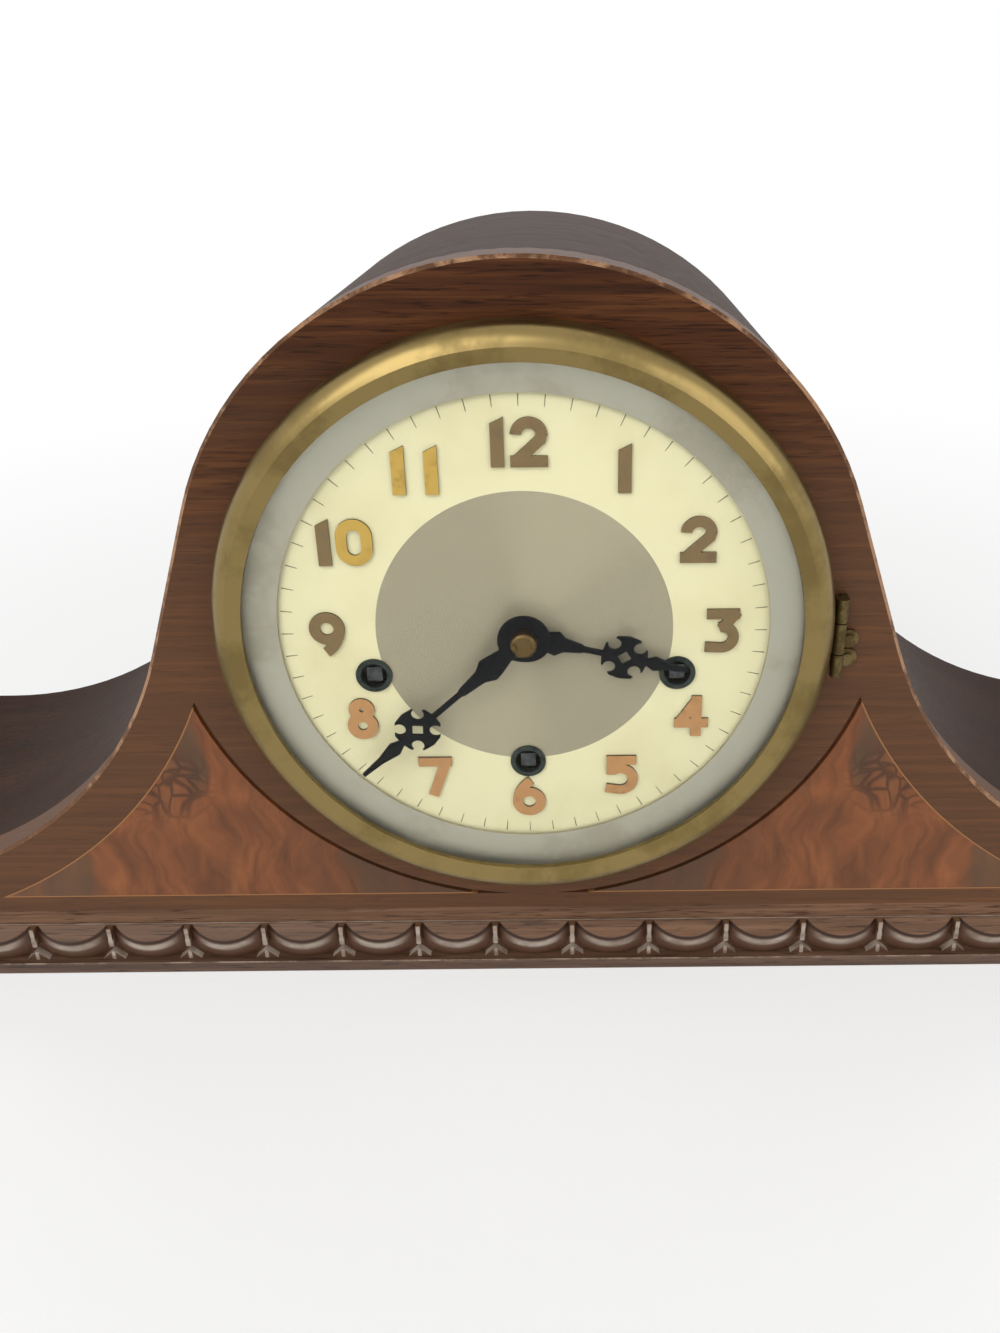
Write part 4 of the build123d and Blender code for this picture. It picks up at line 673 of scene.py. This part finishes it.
@dataclass(frozen=True)
class Enamel(Finish):
    """Cream enamel, slightly stained with age, with a grey centre that carries a painted sheen which turns with
    the angle.
    """

    cream: str
    stain: str
    centre: str
    # bright: colour of the painted sheen on the grey centre
    bright: str
    middle_height: float = 97.0
    centre_radius: float = 32.8
    sheen_turn: float = 2.4
    cloud: float = 24.0

    def surface(self, tree: Tree) -> Inputs:
        """Give the shader's inputs from the distance to the dial's middle.

        Args:
            tree: Node tree of the material.

        Returns:
            Inputs of the principled shader.
        """
        place = add_node(tree, "ShaderNodeTexCoord")
        flat = add_node(
            tree, "ShaderNodeVectorMath", {"operation": "MULTIPLY"},
            {0: place.outputs["Object"], 1: (1.0, 0.0, 1.0)},
        )
        reach = add_node(
            tree, "ShaderNodeVectorMath", {"operation": "DISTANCE"},
            {0: flat.outputs[0], 1: (0.0, 0.0, self.middle_height * MM)},
        )
        clouds = add_node(
            tree, "ShaderNodeTexNoise",
            links={"Vector": place.outputs["Object"], "Scale": 1 / (self.cloud * MM),
                   "Detail": 5.0, "Roughness": 0.6},
        )
        aged = add_node(
            tree, "ShaderNodeMapRange", {"interpolation_type": "SMOOTHSTEP"},
            {"Value": clouds.outputs["Fac"], "From Min": 0.42, "From Max": 0.72, "To Max": 0.6},
        )
        cream = add_node(
            tree, "ShaderNodeMix", {"data_type": "RGBA"},
            {0: aged.outputs[0], 6: linear(self.cream), 7: linear(self.stain)},
        )
        inside = add_node(
            tree, "ShaderNodeMath", {"operation": "LESS_THAN"},
            {0: reach.outputs["Value"], 1: self.centre_radius * MM},
        )
        # painted sheen: a lighter wedge on the grey centre, placed by the angle round the middle
        centred = add_node(
            tree, "ShaderNodeMapping",
            links={"Vector": place.outputs["Object"], "Location": (0.0, 0.0, -self.middle_height * MM)},
        )
        parts = add_node(tree, "ShaderNodeSeparateXYZ", links={0: centred.outputs[0]})
        around = add_node(
            tree, "ShaderNodeMath", {"operation": "ARCTAN2"}, {0: parts.outputs["Z"], 1: parts.outputs["X"]}
        )
        twice = add_node(
            tree, "ShaderNodeMath", {"operation": "MULTIPLY_ADD"},
            {0: around.outputs[0], 1: 2.0, 2: -self.sheen_turn},
        )
        wave = add_node(tree, "ShaderNodeMath", {"operation": "COSINE"}, {0: twice.outputs[0]})
        sheen = add_node(
            tree, "ShaderNodeMapRange", {"interpolation_type": "SMOOTHSTEP"},
            {"Value": wave.outputs[0], "From Min": 0.2, "From Max": 1.0, "To Max": 0.7},
        )
        silver_and_sheen = add_node(
            tree, "ShaderNodeMix", {"data_type": "RGBA"},
            {0: sheen.outputs[0], 6: linear(self.centre), 7: linear(self.bright)},
        )
        colour = add_node(
            tree, "ShaderNodeMix", {"data_type": "RGBA"},
            {0: inside.outputs[0], 6: cream.outputs[2], 7: silver_and_sheen.outputs[2]},
        )
        metal = add_node(tree, "ShaderNodeMath", {"operation": "MULTIPLY"}, {0: inside.outputs[0], 1: 0.3})
        return {
            "Base Color": colour.outputs[2], "Metallic": metal.outputs[0], "Roughness": 0.45,
            "Specular IOR Level": 0.3,
        }


@dataclass(frozen=True)
class Gilding(Finish):
    """Gilt numerals: bright where leaf is left, brown where it has gone, copper below, with painted shade on their
    sides.
    """

    leaf: str
    bare: str
    copper: str
    # side: colour of the painted shade on the numerals' upright sides
    side: str
    middle_height: float = 97.0
    zero_at: tuple[float, float] = (-35.6, 118.7)
    zero_squeeze: float = 1.42
    zero_reach: float = 6.4
    copper_below: float = -8.0
    eleven_left: float = -14.0
    eleven_above: float = 30.0
    flake: float = 2.2

    def surface(self, tree: Tree) -> Inputs:
        """Give the shader's inputs from each numeral's place on the dial.

        Args:
            tree: Node tree of the material.

        Returns:
            Inputs of the principled shader.
        """
        place = add_node(tree, "ShaderNodeTexCoord")
        parts = add_node(tree, "ShaderNodeSeparateXYZ", links={0: place.outputs["Object"]})
        rise = add_node(
            tree, "ShaderNodeMath", {"operation": "SUBTRACT"},
            {0: parts.outputs["Z"], 1: self.middle_height * MM},
        )
        low = add_node(
            tree, "ShaderNodeMath", {"operation": "LESS_THAN"},
            {0: rise.outputs[0], 1: self.copper_below * MM},
        )
        flat = add_node(
            tree, "ShaderNodeVectorMath", {"operation": "MULTIPLY"},
            {0: place.outputs["Object"], 1: (self.zero_squeeze, 0.0, 1.0)},
        )
        from_zero = add_node(
            tree, "ShaderNodeVectorMath", {"operation": "DISTANCE"},
            {0: flat.outputs[0], 1: (self.zero_at[0] * MM * self.zero_squeeze, 0.0, self.zero_at[1] * MM)},
        )
        zero = add_node(
            tree, "ShaderNodeMath", {"operation": "LESS_THAN"},
            {0: from_zero.outputs["Value"], 1: self.zero_reach * MM},
        )
        left = add_node(
            tree, "ShaderNodeMath", {"operation": "LESS_THAN"},
            {0: parts.outputs["X"], 1: self.eleven_left * MM},
        )
        high = add_node(
            tree, "ShaderNodeMath", {"operation": "GREATER_THAN"},
            {0: rise.outputs[0], 1: self.eleven_above * MM},
        )
        eleven = add_node(
            tree, "ShaderNodeMath", {"operation": "MULTIPLY"}, {0: left.outputs[0], 1: high.outputs[0]}
        )
        bright = add_node(
            tree, "ShaderNodeMath", {"operation": "MAXIMUM"}, {0: zero.outputs[0], 1: eleven.outputs[0]}
        )
        flakes = add_node(
            tree, "ShaderNodeTexNoise",
            links={"Vector": place.outputs["Object"], "Scale": 1 / (self.flake * MM),
                   "Detail": 4.0, "Roughness": 0.7},
        )
        flaked = add_node(
            tree, "ShaderNodeMapRange", {"interpolation_type": "SMOOTHSTEP"},
            {"Value": flakes.outputs["Fac"], "From Min": 0.5, "From Max": 0.75,
             "To Min": 1.0, "To Max": 0.6},
        )
        dull = add_node(
            tree, "ShaderNodeMix", {"data_type": "RGBA"},
            {0: low.outputs[0], 6: linear(self.bare), 7: linear(self.copper)},
        )
        front = add_node(
            tree, "ShaderNodeMix", {"data_type": "RGBA"},
            {0: bright.outputs[0], 6: dull.outputs[2], 7: linear(self.leaf)},
        )
        mottled = add_node(
            tree, "ShaderNodeVectorMath", {"operation": "SCALE"},
            {0: front.outputs[2], "Scale": flaked.outputs[0]},
        )
        # painted shade on the upright sides of the numerals
        normal = add_node(tree, "ShaderNodeNewGeometry")
        across = add_node(tree, "ShaderNodeSeparateXYZ", links={0: normal.outputs["True Normal"]})
        facing = add_node(tree, "ShaderNodeMath", {"operation": "ABSOLUTE"}, {0: across.outputs["Y"]})
        shaded_wall = add_node(tree, "ShaderNodeMath", {"operation": "LESS_THAN"}, {0: facing.outputs[0], 1: 0.5})
        colour = add_node(
            tree, "ShaderNodeMix", {"data_type": "RGBA"},
            {0: shaded_wall.outputs[0], 6: mottled.outputs[0], 7: linear(self.side)},
        )
        metal = add_node(tree, "ShaderNodeMath", {"operation": "MULTIPLY"}, {0: bright.outputs[0], 1: 0.6})
        return {"Base Color": colour.outputs[2], "Metallic": metal.outputs[0], "Roughness": 0.4}


@dataclass(frozen=True)
class Lacquer(Finish):
    """Thin lacquer or paint over metal: an even colour with faint dust and a soft gloss."""

    base: str
    dust: str
    roughness: float = 0.35
    speck: float = 3.0

    def surface(self, tree: Tree) -> Inputs:
        """Give the shader's inputs: the colour, greyed here and there by dust.

        Args:
            tree: Node tree of the material.

        Returns:
            Inputs of the principled shader.
        """
        place = add_node(tree, "ShaderNodeTexCoord")
        specks = add_node(
            tree, "ShaderNodeTexNoise",
            links={"Vector": place.outputs["Object"], "Scale": 1 / (self.speck * MM), "Detail": 5.0,
                   "Roughness": 0.7},
        )
        film = add_node(
            tree, "ShaderNodeMapRange", {"interpolation_type": "SMOOTHSTEP"},
            {"Value": specks.outputs["Fac"], "From Min": 0.45, "From Max": 0.75, "To Max": 0.5},
        )
        colour = add_node(
            tree, "ShaderNodeMix", {"data_type": "RGBA"},
            {0: film.outputs[0], 6: linear(self.base), 7: linear(self.dust)},
        )
        rough = add_node(
            tree, "ShaderNodeMath", {"operation": "MULTIPLY_ADD"},
            {0: film.outputs[0], 1: 0.2, 2: self.roughness},
        )
        return {"Base Color": colour.outputs[2], "Roughness": rough.outputs[0], "Specular IOR Level": 0.1}


@dataclass(frozen=True)
class ClearGlass(Finish):
    """Blown clock glass: clear, smooth, and let through by the light that falls on the dial."""

    tint: str
    ior: float = 1.15

    def surface(self, tree: Tree) -> Inputs:
        """Give the shader's inputs for clear glass.

        Args:
            tree: Node tree of the material.

        Returns:
            Inputs of the principled shader.
        """
        return {
            "Base Color": linear(self.tint), "Roughness": 0.02, "IOR": self.ior, "Transmission Weight": 1.0,
        }

    def close(self, tree: Tree, shader: bpy.types.Node) -> None:
        """Lead the glass to the output, and let shadow rays pass it.

        Args:
            tree: Node tree of the material.
            shader: The principled shader.
        """
        path = add_node(tree, "ShaderNodeLightPath")
        clear = add_node(tree, "ShaderNodeBsdfTransparent")
        mixed = add_node(
            tree, "ShaderNodeMixShader",
            links={0: path.outputs["Is Shadow Ray"], 1: shader.outputs[0], 2: clear.outputs[0]},
        )
        add_node(tree, "ShaderNodeOutputMaterial", links={"Surface": mixed.outputs[0]})


# Mahogany veneer, sliced and varnished: fine level grain, short dark pores, paler low down, bare at the edge
VENEER = Wood(
    "mahogany_veneer", "veneer", "#371d0e", "#4a2914", "#633c20", gloss=0.12, worn="#b98f6c", low_tone="#795841"
)
# Bent plywood top, stained black-brown and waxed, with a low sheen
STAINED_TOP = Wood(
    "stained_bent_top", "top_wood", "#291a12", "#36231a", "#453024", roughness=0.5, gloss=0.05, worn="#6e5442"
)
# Walnut burl, book-matched: swirling figure, olive flames and dark eyes, with an orange string along its edge
BURL = Burl("walnut_burl", "burl", "#57331c", "#7c4826", "#945830", "#57432f", "#98683c")
# The same veneer round the base board, paler
BASE_BAND = Wood("pale_base_veneer", "base_wood", "#5e4330", "#735440", "#87664e", gloss=0.12)
# Stained plinth, glossy, worn bare along its top edge, where the pale line is also a painted highlight
PLINTH = Wood(
    "stained_plinth", "base_wood", "#4a3427", "#5b4232", "#6e5241", gloss=0.4, worn="#a8937f", arris_height=3.3
)
# Carved moulding under old varnish, with painted shade under the top edges and painted highlights on the rounds,
# darts and feet
CARVING = Moulding("carved_moulding", "base_wood", "#5a412e", "#6d4f3a", "#806049", roughness=0.4, gloss=0.22)
# Plain deal inside and behind, stained thinly and left dull
DEAL = Wood(
    "stained_deal", "inner_wood", "#553620", "#6d482c", "#83593a", Grain.Z, 60.0, 2.6, roughness=0.6
)
# Turned hardwood, waxed
TURNED_WOOD = Wood("turned_hardwood", "inner_wood", "#3d2315", "#4e2e1d", "#603a26", Grain.Y, gloss=0.4)
# Spun brass, long unpolished: a soft shine under an even olive film
BEZEL_BRASS = Metal("aged_spun_brass", "bezel_brass", "#8b784c", "#73623c", 0.34, 26.0, 0.3)
# Cast brass hinge, never polished
HINGE_BRASS = Metal("dull_cast_brass", "bezel_brass", "#6e5f3f", "#52442b", 0.4, 3.0, 0.42)
# Rolled brass, dulled under old oil
MOVEMENT_BRASS = Metal("rolled_brass", "brass", "#c09d58", "#8f6f36", 0.22, 6.0, 0.32)
# Turned nut of brass, browned
NUT_BRASS = Metal("browned_brass", "brass", "#6b5636", "#43341f", 0.34, 2.0, 0.34)
# Turned steel, oiled
STEEL = Metal("turned_steel", "steel", "#8f9194", "#6a6660", 0.2, 5.0, 0.32)
# Winding squares: steel painted dark for the shade deep in the winding holes
SHADED_ARBOR_STEEL = Metal("arbor_steel_painted_shade", "steel", "#56585a", "#393836", 0.4, 1.5, 0.4)
# Silvered brass ring, clouded with age
SILVERED = Metal("silvered_brass", "silvered", "#b4afa0", "#a8a292", 0.3, 40.0, 0.5)
# Chemically darkened bronze eyelets
BRONZE = Metal("dark_bronze", "grommet", "#3d433e", "#262a27", 0.3, 2.0, 0.45)
# Sand-cast iron, painted black
CAST_IRON = Lacquer("painted_cast_iron", "iron", "#1c1c1e", "#3a3836", 0.6, 2.0)
# Fired enamel on copper: smooth and cream, clouded by age; its centre is spun and silvered, with a painted sheen
DIAL_ENAMEL = Enamel("cream_enamel", "dial", "#cdc5a0", "#c1b78f", "#938a75", "#9f967f")
# Gilt numerals, most of the leaf gone, with painted shade on their sides
NUMERAL_GILT = Gilding("worn_gilding", "gilt", "#bb9848", "#69532f", "#a47647", "#43321c")
# Stamped steel hands under black lacquer
HAND_BLACK = Lacquer("black_lacquer", "black", "#08080a", "#141417", 0.42, 4.0)
# Printed ink, faded
TICK_INK = Lacquer("faded_ink", "black", "#6b6653", "#8a846c", 0.6, 1.5)
# Blown soda-lime glass, thin, of low refraction so that its face stays as clear as the real one
CLOCK_GLASS = ClearGlass("soda_lime_glass", "glass", "#fbfdfb")


def select_only(piece: bpy.types.Object) -> None:
    """Make one object the only selected and active one."""
    bpy.ops.object.select_all(action="DESELECT")
    piece.select_set(True)
    bpy.context.view_layer.objects.active = piece


def settle(piece: bpy.types.Object, name: str, finish: Finish, body: str) -> bpy.types.Object:
    """Name a new piece, put its place into its mesh, and let it ride on a body in its finish.

    Args:
        piece: The finished object.
        name: Name of the piece.
        finish: Finish that it gets.
        body: Body that carries it.

    Returns:
        The piece.
    """
    select_only(piece)
    bpy.ops.object.transform_apply(location=True, rotation=True, scale=True)
    piece.name = name
    piece.data.materials.clear()
    piece.data.materials.append(finish.material())
    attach(piece, body)
    LOG.info("piece %s rides on %s in %s", name, body, finish.name)
    return piece


@dataclass
class Assembly:
    """Some of the clock's CAD nodes with the finish of each."""

    finishes: dict[str, Finish] = field(default_factory=dict)

    def dress(self) -> None:
        """Give each node its finish."""
        for node, finish in self.finishes.items():
            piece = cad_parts[node]
            piece.data.materials.clear()
            piece.data.materials.append(finish.material())
            LOG.info("node %s is finished in %s", node, finish.name)

    def build(self) -> None:
        """Make what the assembly adds to its nodes."""


@dataclass
class Case(Assembly):
    """Wooden case: veneered front with burl panels, bent top, base, moulding, back and door."""

    finishes: dict[str, Finish] = field(default_factory=lambda: {
        "front_board": VENEER, "inlays": BURL, "arch_top": STAINED_TOP, "plinth_board": PLINTH,
        "base_board": BASE_BAND, "base_moulding": CARVING, "corner_blocks": DEAL, "back_board": DEAL,
        "back_door": DEAL, "door_knob": TURNED_WOOD, "turn_button": TURNED_WOOD,
        "door_case_leaves": MOVEMENT_BRASS, "door_leaves": MOVEMENT_BRASS,
    })


@dataclass
class Bezel(Assembly):
    """Bezel door: spun ring, domed glass, sight ring and hinge."""

    finishes: dict[str, Finish] = field(default_factory=lambda: {
        "bezel_ring": BEZEL_BRASS, "glass": CLOCK_GLASS, "sight_ring": SILVERED,
        "bezel_hinge_plate": HINGE_BRASS, "bezel_hinge_strap": HINGE_BRASS, "bezel_hinge_screws": HINGE_BRASS,
    })


@dataclass
class Dial(Assembly):
    """Dial with its numerals, hands and winding holes, and the printed minute marks."""

    finishes: dict[str, Finish] = field(default_factory=lambda: {
        "dial_plate": DIAL_ENAMEL, "dial_screws": STEEL, "winding_bushings": BRONZE, "numerals": NUMERAL_GILT,
        "hour_hand": HAND_BLACK, "minute_hand": HAND_BLACK, "hand_nut": NUT_BRASS,
    })
    middle: tuple[float, float, float] = (0.0, -51.1, 97.0)
    mark_reach: float = 52.2
    mark_length: float = 2.6
    mark_width: float = 0.24
    mark_rise: float = 0.05
    mark_taper: float = 0.6
    mark_count: int = 60

    def build(self) -> None:
        """Print the minute marks round the dial's edge."""
        bpy.ops.object.select_all(action="DESELECT")
        x, y, z = (part * MM for part in self.middle)
        spot = (x, y - self.mark_rise * MM / 2, z + self.mark_reach * MM)
        bpy.ops.mesh.primitive_cube_add(size=1.0, location=spot)
        mark = bpy.context.object
        mark.scale = (self.mark_width * MM, self.mark_rise * MM, self.mark_length * MM)
        bpy.ops.object.transform_apply(location=True, rotation=True, scale=True)
        bpy.ops.object.mode_set(mode="EDIT")
        bpy.ops.mesh.select_all(action="DESELECT")
        bpy.ops.object.mode_set(mode="OBJECT")
        for face in mark.data.polygons:
            face.select = face.normal.z < -0.9
        bpy.ops.object.mode_set(mode="EDIT")
        inner = (spot[0], spot[1], spot[2] - self.mark_length * MM / 2)
        bpy.ops.transform.resize(value=(self.mark_taper, 1.0, 1.0), center_override=inner)
        bpy.ops.object.mode_set(mode="OBJECT")
        marks = [mark]
        for turn in range(1, self.mark_count):
            select_only(mark)
            bpy.ops.object.duplicate(linked=False)
            copy = bpy.context.object
            copy.data.transform(
                Matrix.Translation((x, y, z))
                @ Matrix.Rotation(2 * math.pi * turn / self.mark_count, 4, "Y")
                @ Matrix.Translation((-x, -y, -z))
            )
            marks.append(copy)
        bpy.ops.object.select_all(action="DESELECT")
        for piece in marks:
            piece.select_set(True)
        bpy.context.view_layer.objects.active = mark
        bpy.ops.object.join()
        settle(mark, "minute_marks", TICK_INK, "case")


@dataclass
class Movement(Assembly):
    """Plates, trains, pendulum, hammers and chime rods."""

    brass: tuple[str, ...] = (
        "front_plate", "back_plate", "pillars", "time_barrel", "strike_barrel", "chime_barrel",
        "intermediate_wheel", "centre_wheel", "third_wheel", "escape_wheel", "cannon_pinion", "minute_wheel",
        "hour_wheel", "strike_wheel", "chime_wheel", "strike_fly", "chime_fly", "chime_drum",
        "hammer_bracket", "hammer_1", "hammer_2", "hammer_3", "hammer_4", "hammer_5", "pendulum_bob", "rating_nut",
    )
    steel: tuple[str, ...] = ("movement_screws", "pallets", "pendulum_rod", "chime_rods")
    arbors: tuple[str, ...] = ("strike_arbor", "time_arbor", "chime_arbor")
    iron: tuple[str, ...] = ("rod_block",)

    def dress(self) -> None:
        """Give each node the finish of its metal."""
        metals = (
            (self.brass, MOVEMENT_BRASS), (self.steel, STEEL),
            (self.arbors, SHADED_ARBOR_STEEL), (self.iron, CAST_IRON),
        )
        for nodes, finish in metals:
            self.finishes.update({node: finish for node in nodes})
        super().dress()


@dataclass
class Studio:
    """Pale floor, soft light and the camera at the photograph's place."""

    floor_reach: float = 3.0
    floor_colour: str = "#fcfcfb"
    floor_drop: float = 0.0002
    floor_fade: tuple[float, float] = (0.2, 0.6)
    floor_glow: float = 0.45
    surround: float = 0.39
    aim: tuple[float, float, float] = (0.0, 0.0, 0.08)
    lamps: tuple[tuple[str, tuple[float, float, float], float, float], ...] = (
        ("window_light", (-0.55, -0.75, 1.05), 1.0, 9.3),
        ("room_light", (0.9, -0.7, 0.7), 0.9, 3.8),
        ("back_light", (0.1, 0.9, 1.1), 0.9, 3.8),
    )
    camera_at: tuple[float, float, float] = (0.0106, -0.25845, 0.2020)
    yaw: float = 0.002
    pitch: float = -0.417
    roll: float = -0.0081
    lens: float = 28.36
    sensor: float = 36.0
    shift: tuple[float, float] = (-0.0555, -0.0675)

    def build(self) -> None:
        """Set the floor, the light and the camera."""
        self.floor()
        self.light()
        self.camera()
        bpy.context.scene.view_settings.view_transform = "Standard"

    def floor(self) -> None:
        """Lay the floor, which turns into the white background with distance."""
        bpy.ops.object.select_all(action="DESELECT")
        bpy.ops.mesh.primitive_plane_add(size=2 * self.floor_reach, location=(0, 0, -self.floor_drop))
        floor = bpy.context.object
        floor.name = "studio_floor"
        material = bpy.data.materials.new("studio_floor")
        material.use_nodes = True
        tree = material.node_tree
        tree.nodes.clear()
        place = add_node(tree, "ShaderNodeTexCoord")
        away = add_node(tree, "ShaderNodeVectorMath", {"operation": "LENGTH"}, {0: place.outputs["Object"]})
        far = add_node(
            tree, "ShaderNodeMapRange", {"interpolation_type": "SMOOTHSTEP"},
            {"Value": away.outputs["Value"], "From Min": self.floor_fade[0], "From Max": self.floor_fade[1],
             "To Min": self.floor_glow},
        )
        matt = add_node(
            tree, "ShaderNodeBsdfPrincipled",
            links={"Base Color": linear(self.floor_colour), "Roughness": 0.9},
        )
        white = add_node(tree, "ShaderNodeEmission", links={"Color": (1, 1, 1, 1), "Strength": 1.0})
        mixed = add_node(
            tree, "ShaderNodeMixShader", links={0: far.outputs[0], 1: matt.outputs[0], 2: white.outputs[0]}
        )
        add_node(tree, "ShaderNodeOutputMaterial", links={"Surface": mixed.outputs[0]})
        floor.data.materials.append(material)

    def light(self) -> None:
        """Light the clock softly from above and from both sides, against a white surround."""
        world = bpy.data.worlds.new("studio")
        bpy.context.scene.world = world
        world.use_nodes = True
        tree = world.node_tree
        tree.nodes.clear()
        path = add_node(tree, "ShaderNodeLightPath")
        seen = add_node(
            tree, "ShaderNodeMath", {"operation": "MAXIMUM"},
            {0: path.outputs["Is Camera Ray"], 1: path.outputs["Is Glossy Ray"]},
        )
        shown = add_node(
            tree, "ShaderNodeMath", {"operation": "MAXIMUM"},
            {0: seen.outputs[0], 1: path.outputs["Is Transmission Ray"]},
        )
        soft = add_node(
            tree, "ShaderNodeBackground", links={"Color": (1, 1, 1, 1), "Strength": self.surround}
        )
        white = add_node(tree, "ShaderNodeBackground", links={"Color": (1, 1, 1, 1), "Strength": 1.0})
        mixed = add_node(
            tree, "ShaderNodeMixShader", links={0: shown.outputs[0], 1: soft.outputs[0], 2: white.outputs[0]}
        )
        add_node(tree, "ShaderNodeOutputWorld", links={"Surface": mixed.outputs[0]})
        for name, spot, size, power in self.lamps:
            lamp = bpy.data.lights.new(name, "AREA")
            lamp.size = size
            lamp.energy = power
            holder = bpy.data.objects.new(name, lamp)
            bpy.context.scene.collection.objects.link(holder)
            holder.location = spot
            holder.rotation_euler = (Vector(self.aim) - Vector(spot)).to_track_quat("-Z", "Y").to_euler()

    def camera(self) -> None:
        """Set the camera from its yaw, pitch and roll, with the photograph's framing."""
        ahead = Vector((
            math.sin(self.yaw) * math.cos(self.pitch), math.cos(self.yaw) * math.cos(self.pitch),
            math.sin(self.pitch),
        ))
        level = Vector((math.cos(self.yaw), -math.sin(self.yaw), 0.0))
        upward = level.cross(ahead)
        right = level * math.cos(self.roll) + upward * math.sin(self.roll)
        up = upward * math.cos(self.roll) - level * math.sin(self.roll)
        lens = bpy.data.cameras.new("photo_camera")
        lens.lens = self.lens
        lens.sensor_width = self.sensor
        lens.shift_x, lens.shift_y = self.shift
        lens.clip_start = 0.01
        camera = bpy.data.objects.new("photo_camera", lens)
        bpy.context.scene.collection.objects.link(camera)
        turn = Matrix((right, up, -ahead)).transposed().to_4x4()
        camera.matrix_world = Matrix.Translation(self.camera_at) @ turn
        bpy.context.scene.camera = camera


def main() -> None:
    """Dress the clock, add its printed marks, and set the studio."""
    logging.basicConfig(level=logging.INFO, format="%(name)s: %(message)s")
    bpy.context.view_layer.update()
    Studio().build()
    for assembly in (Case(), Bezel(), Dial(), Movement()):
        assembly.dress()
        assembly.build()


if __name__ == "__main__":
    main()
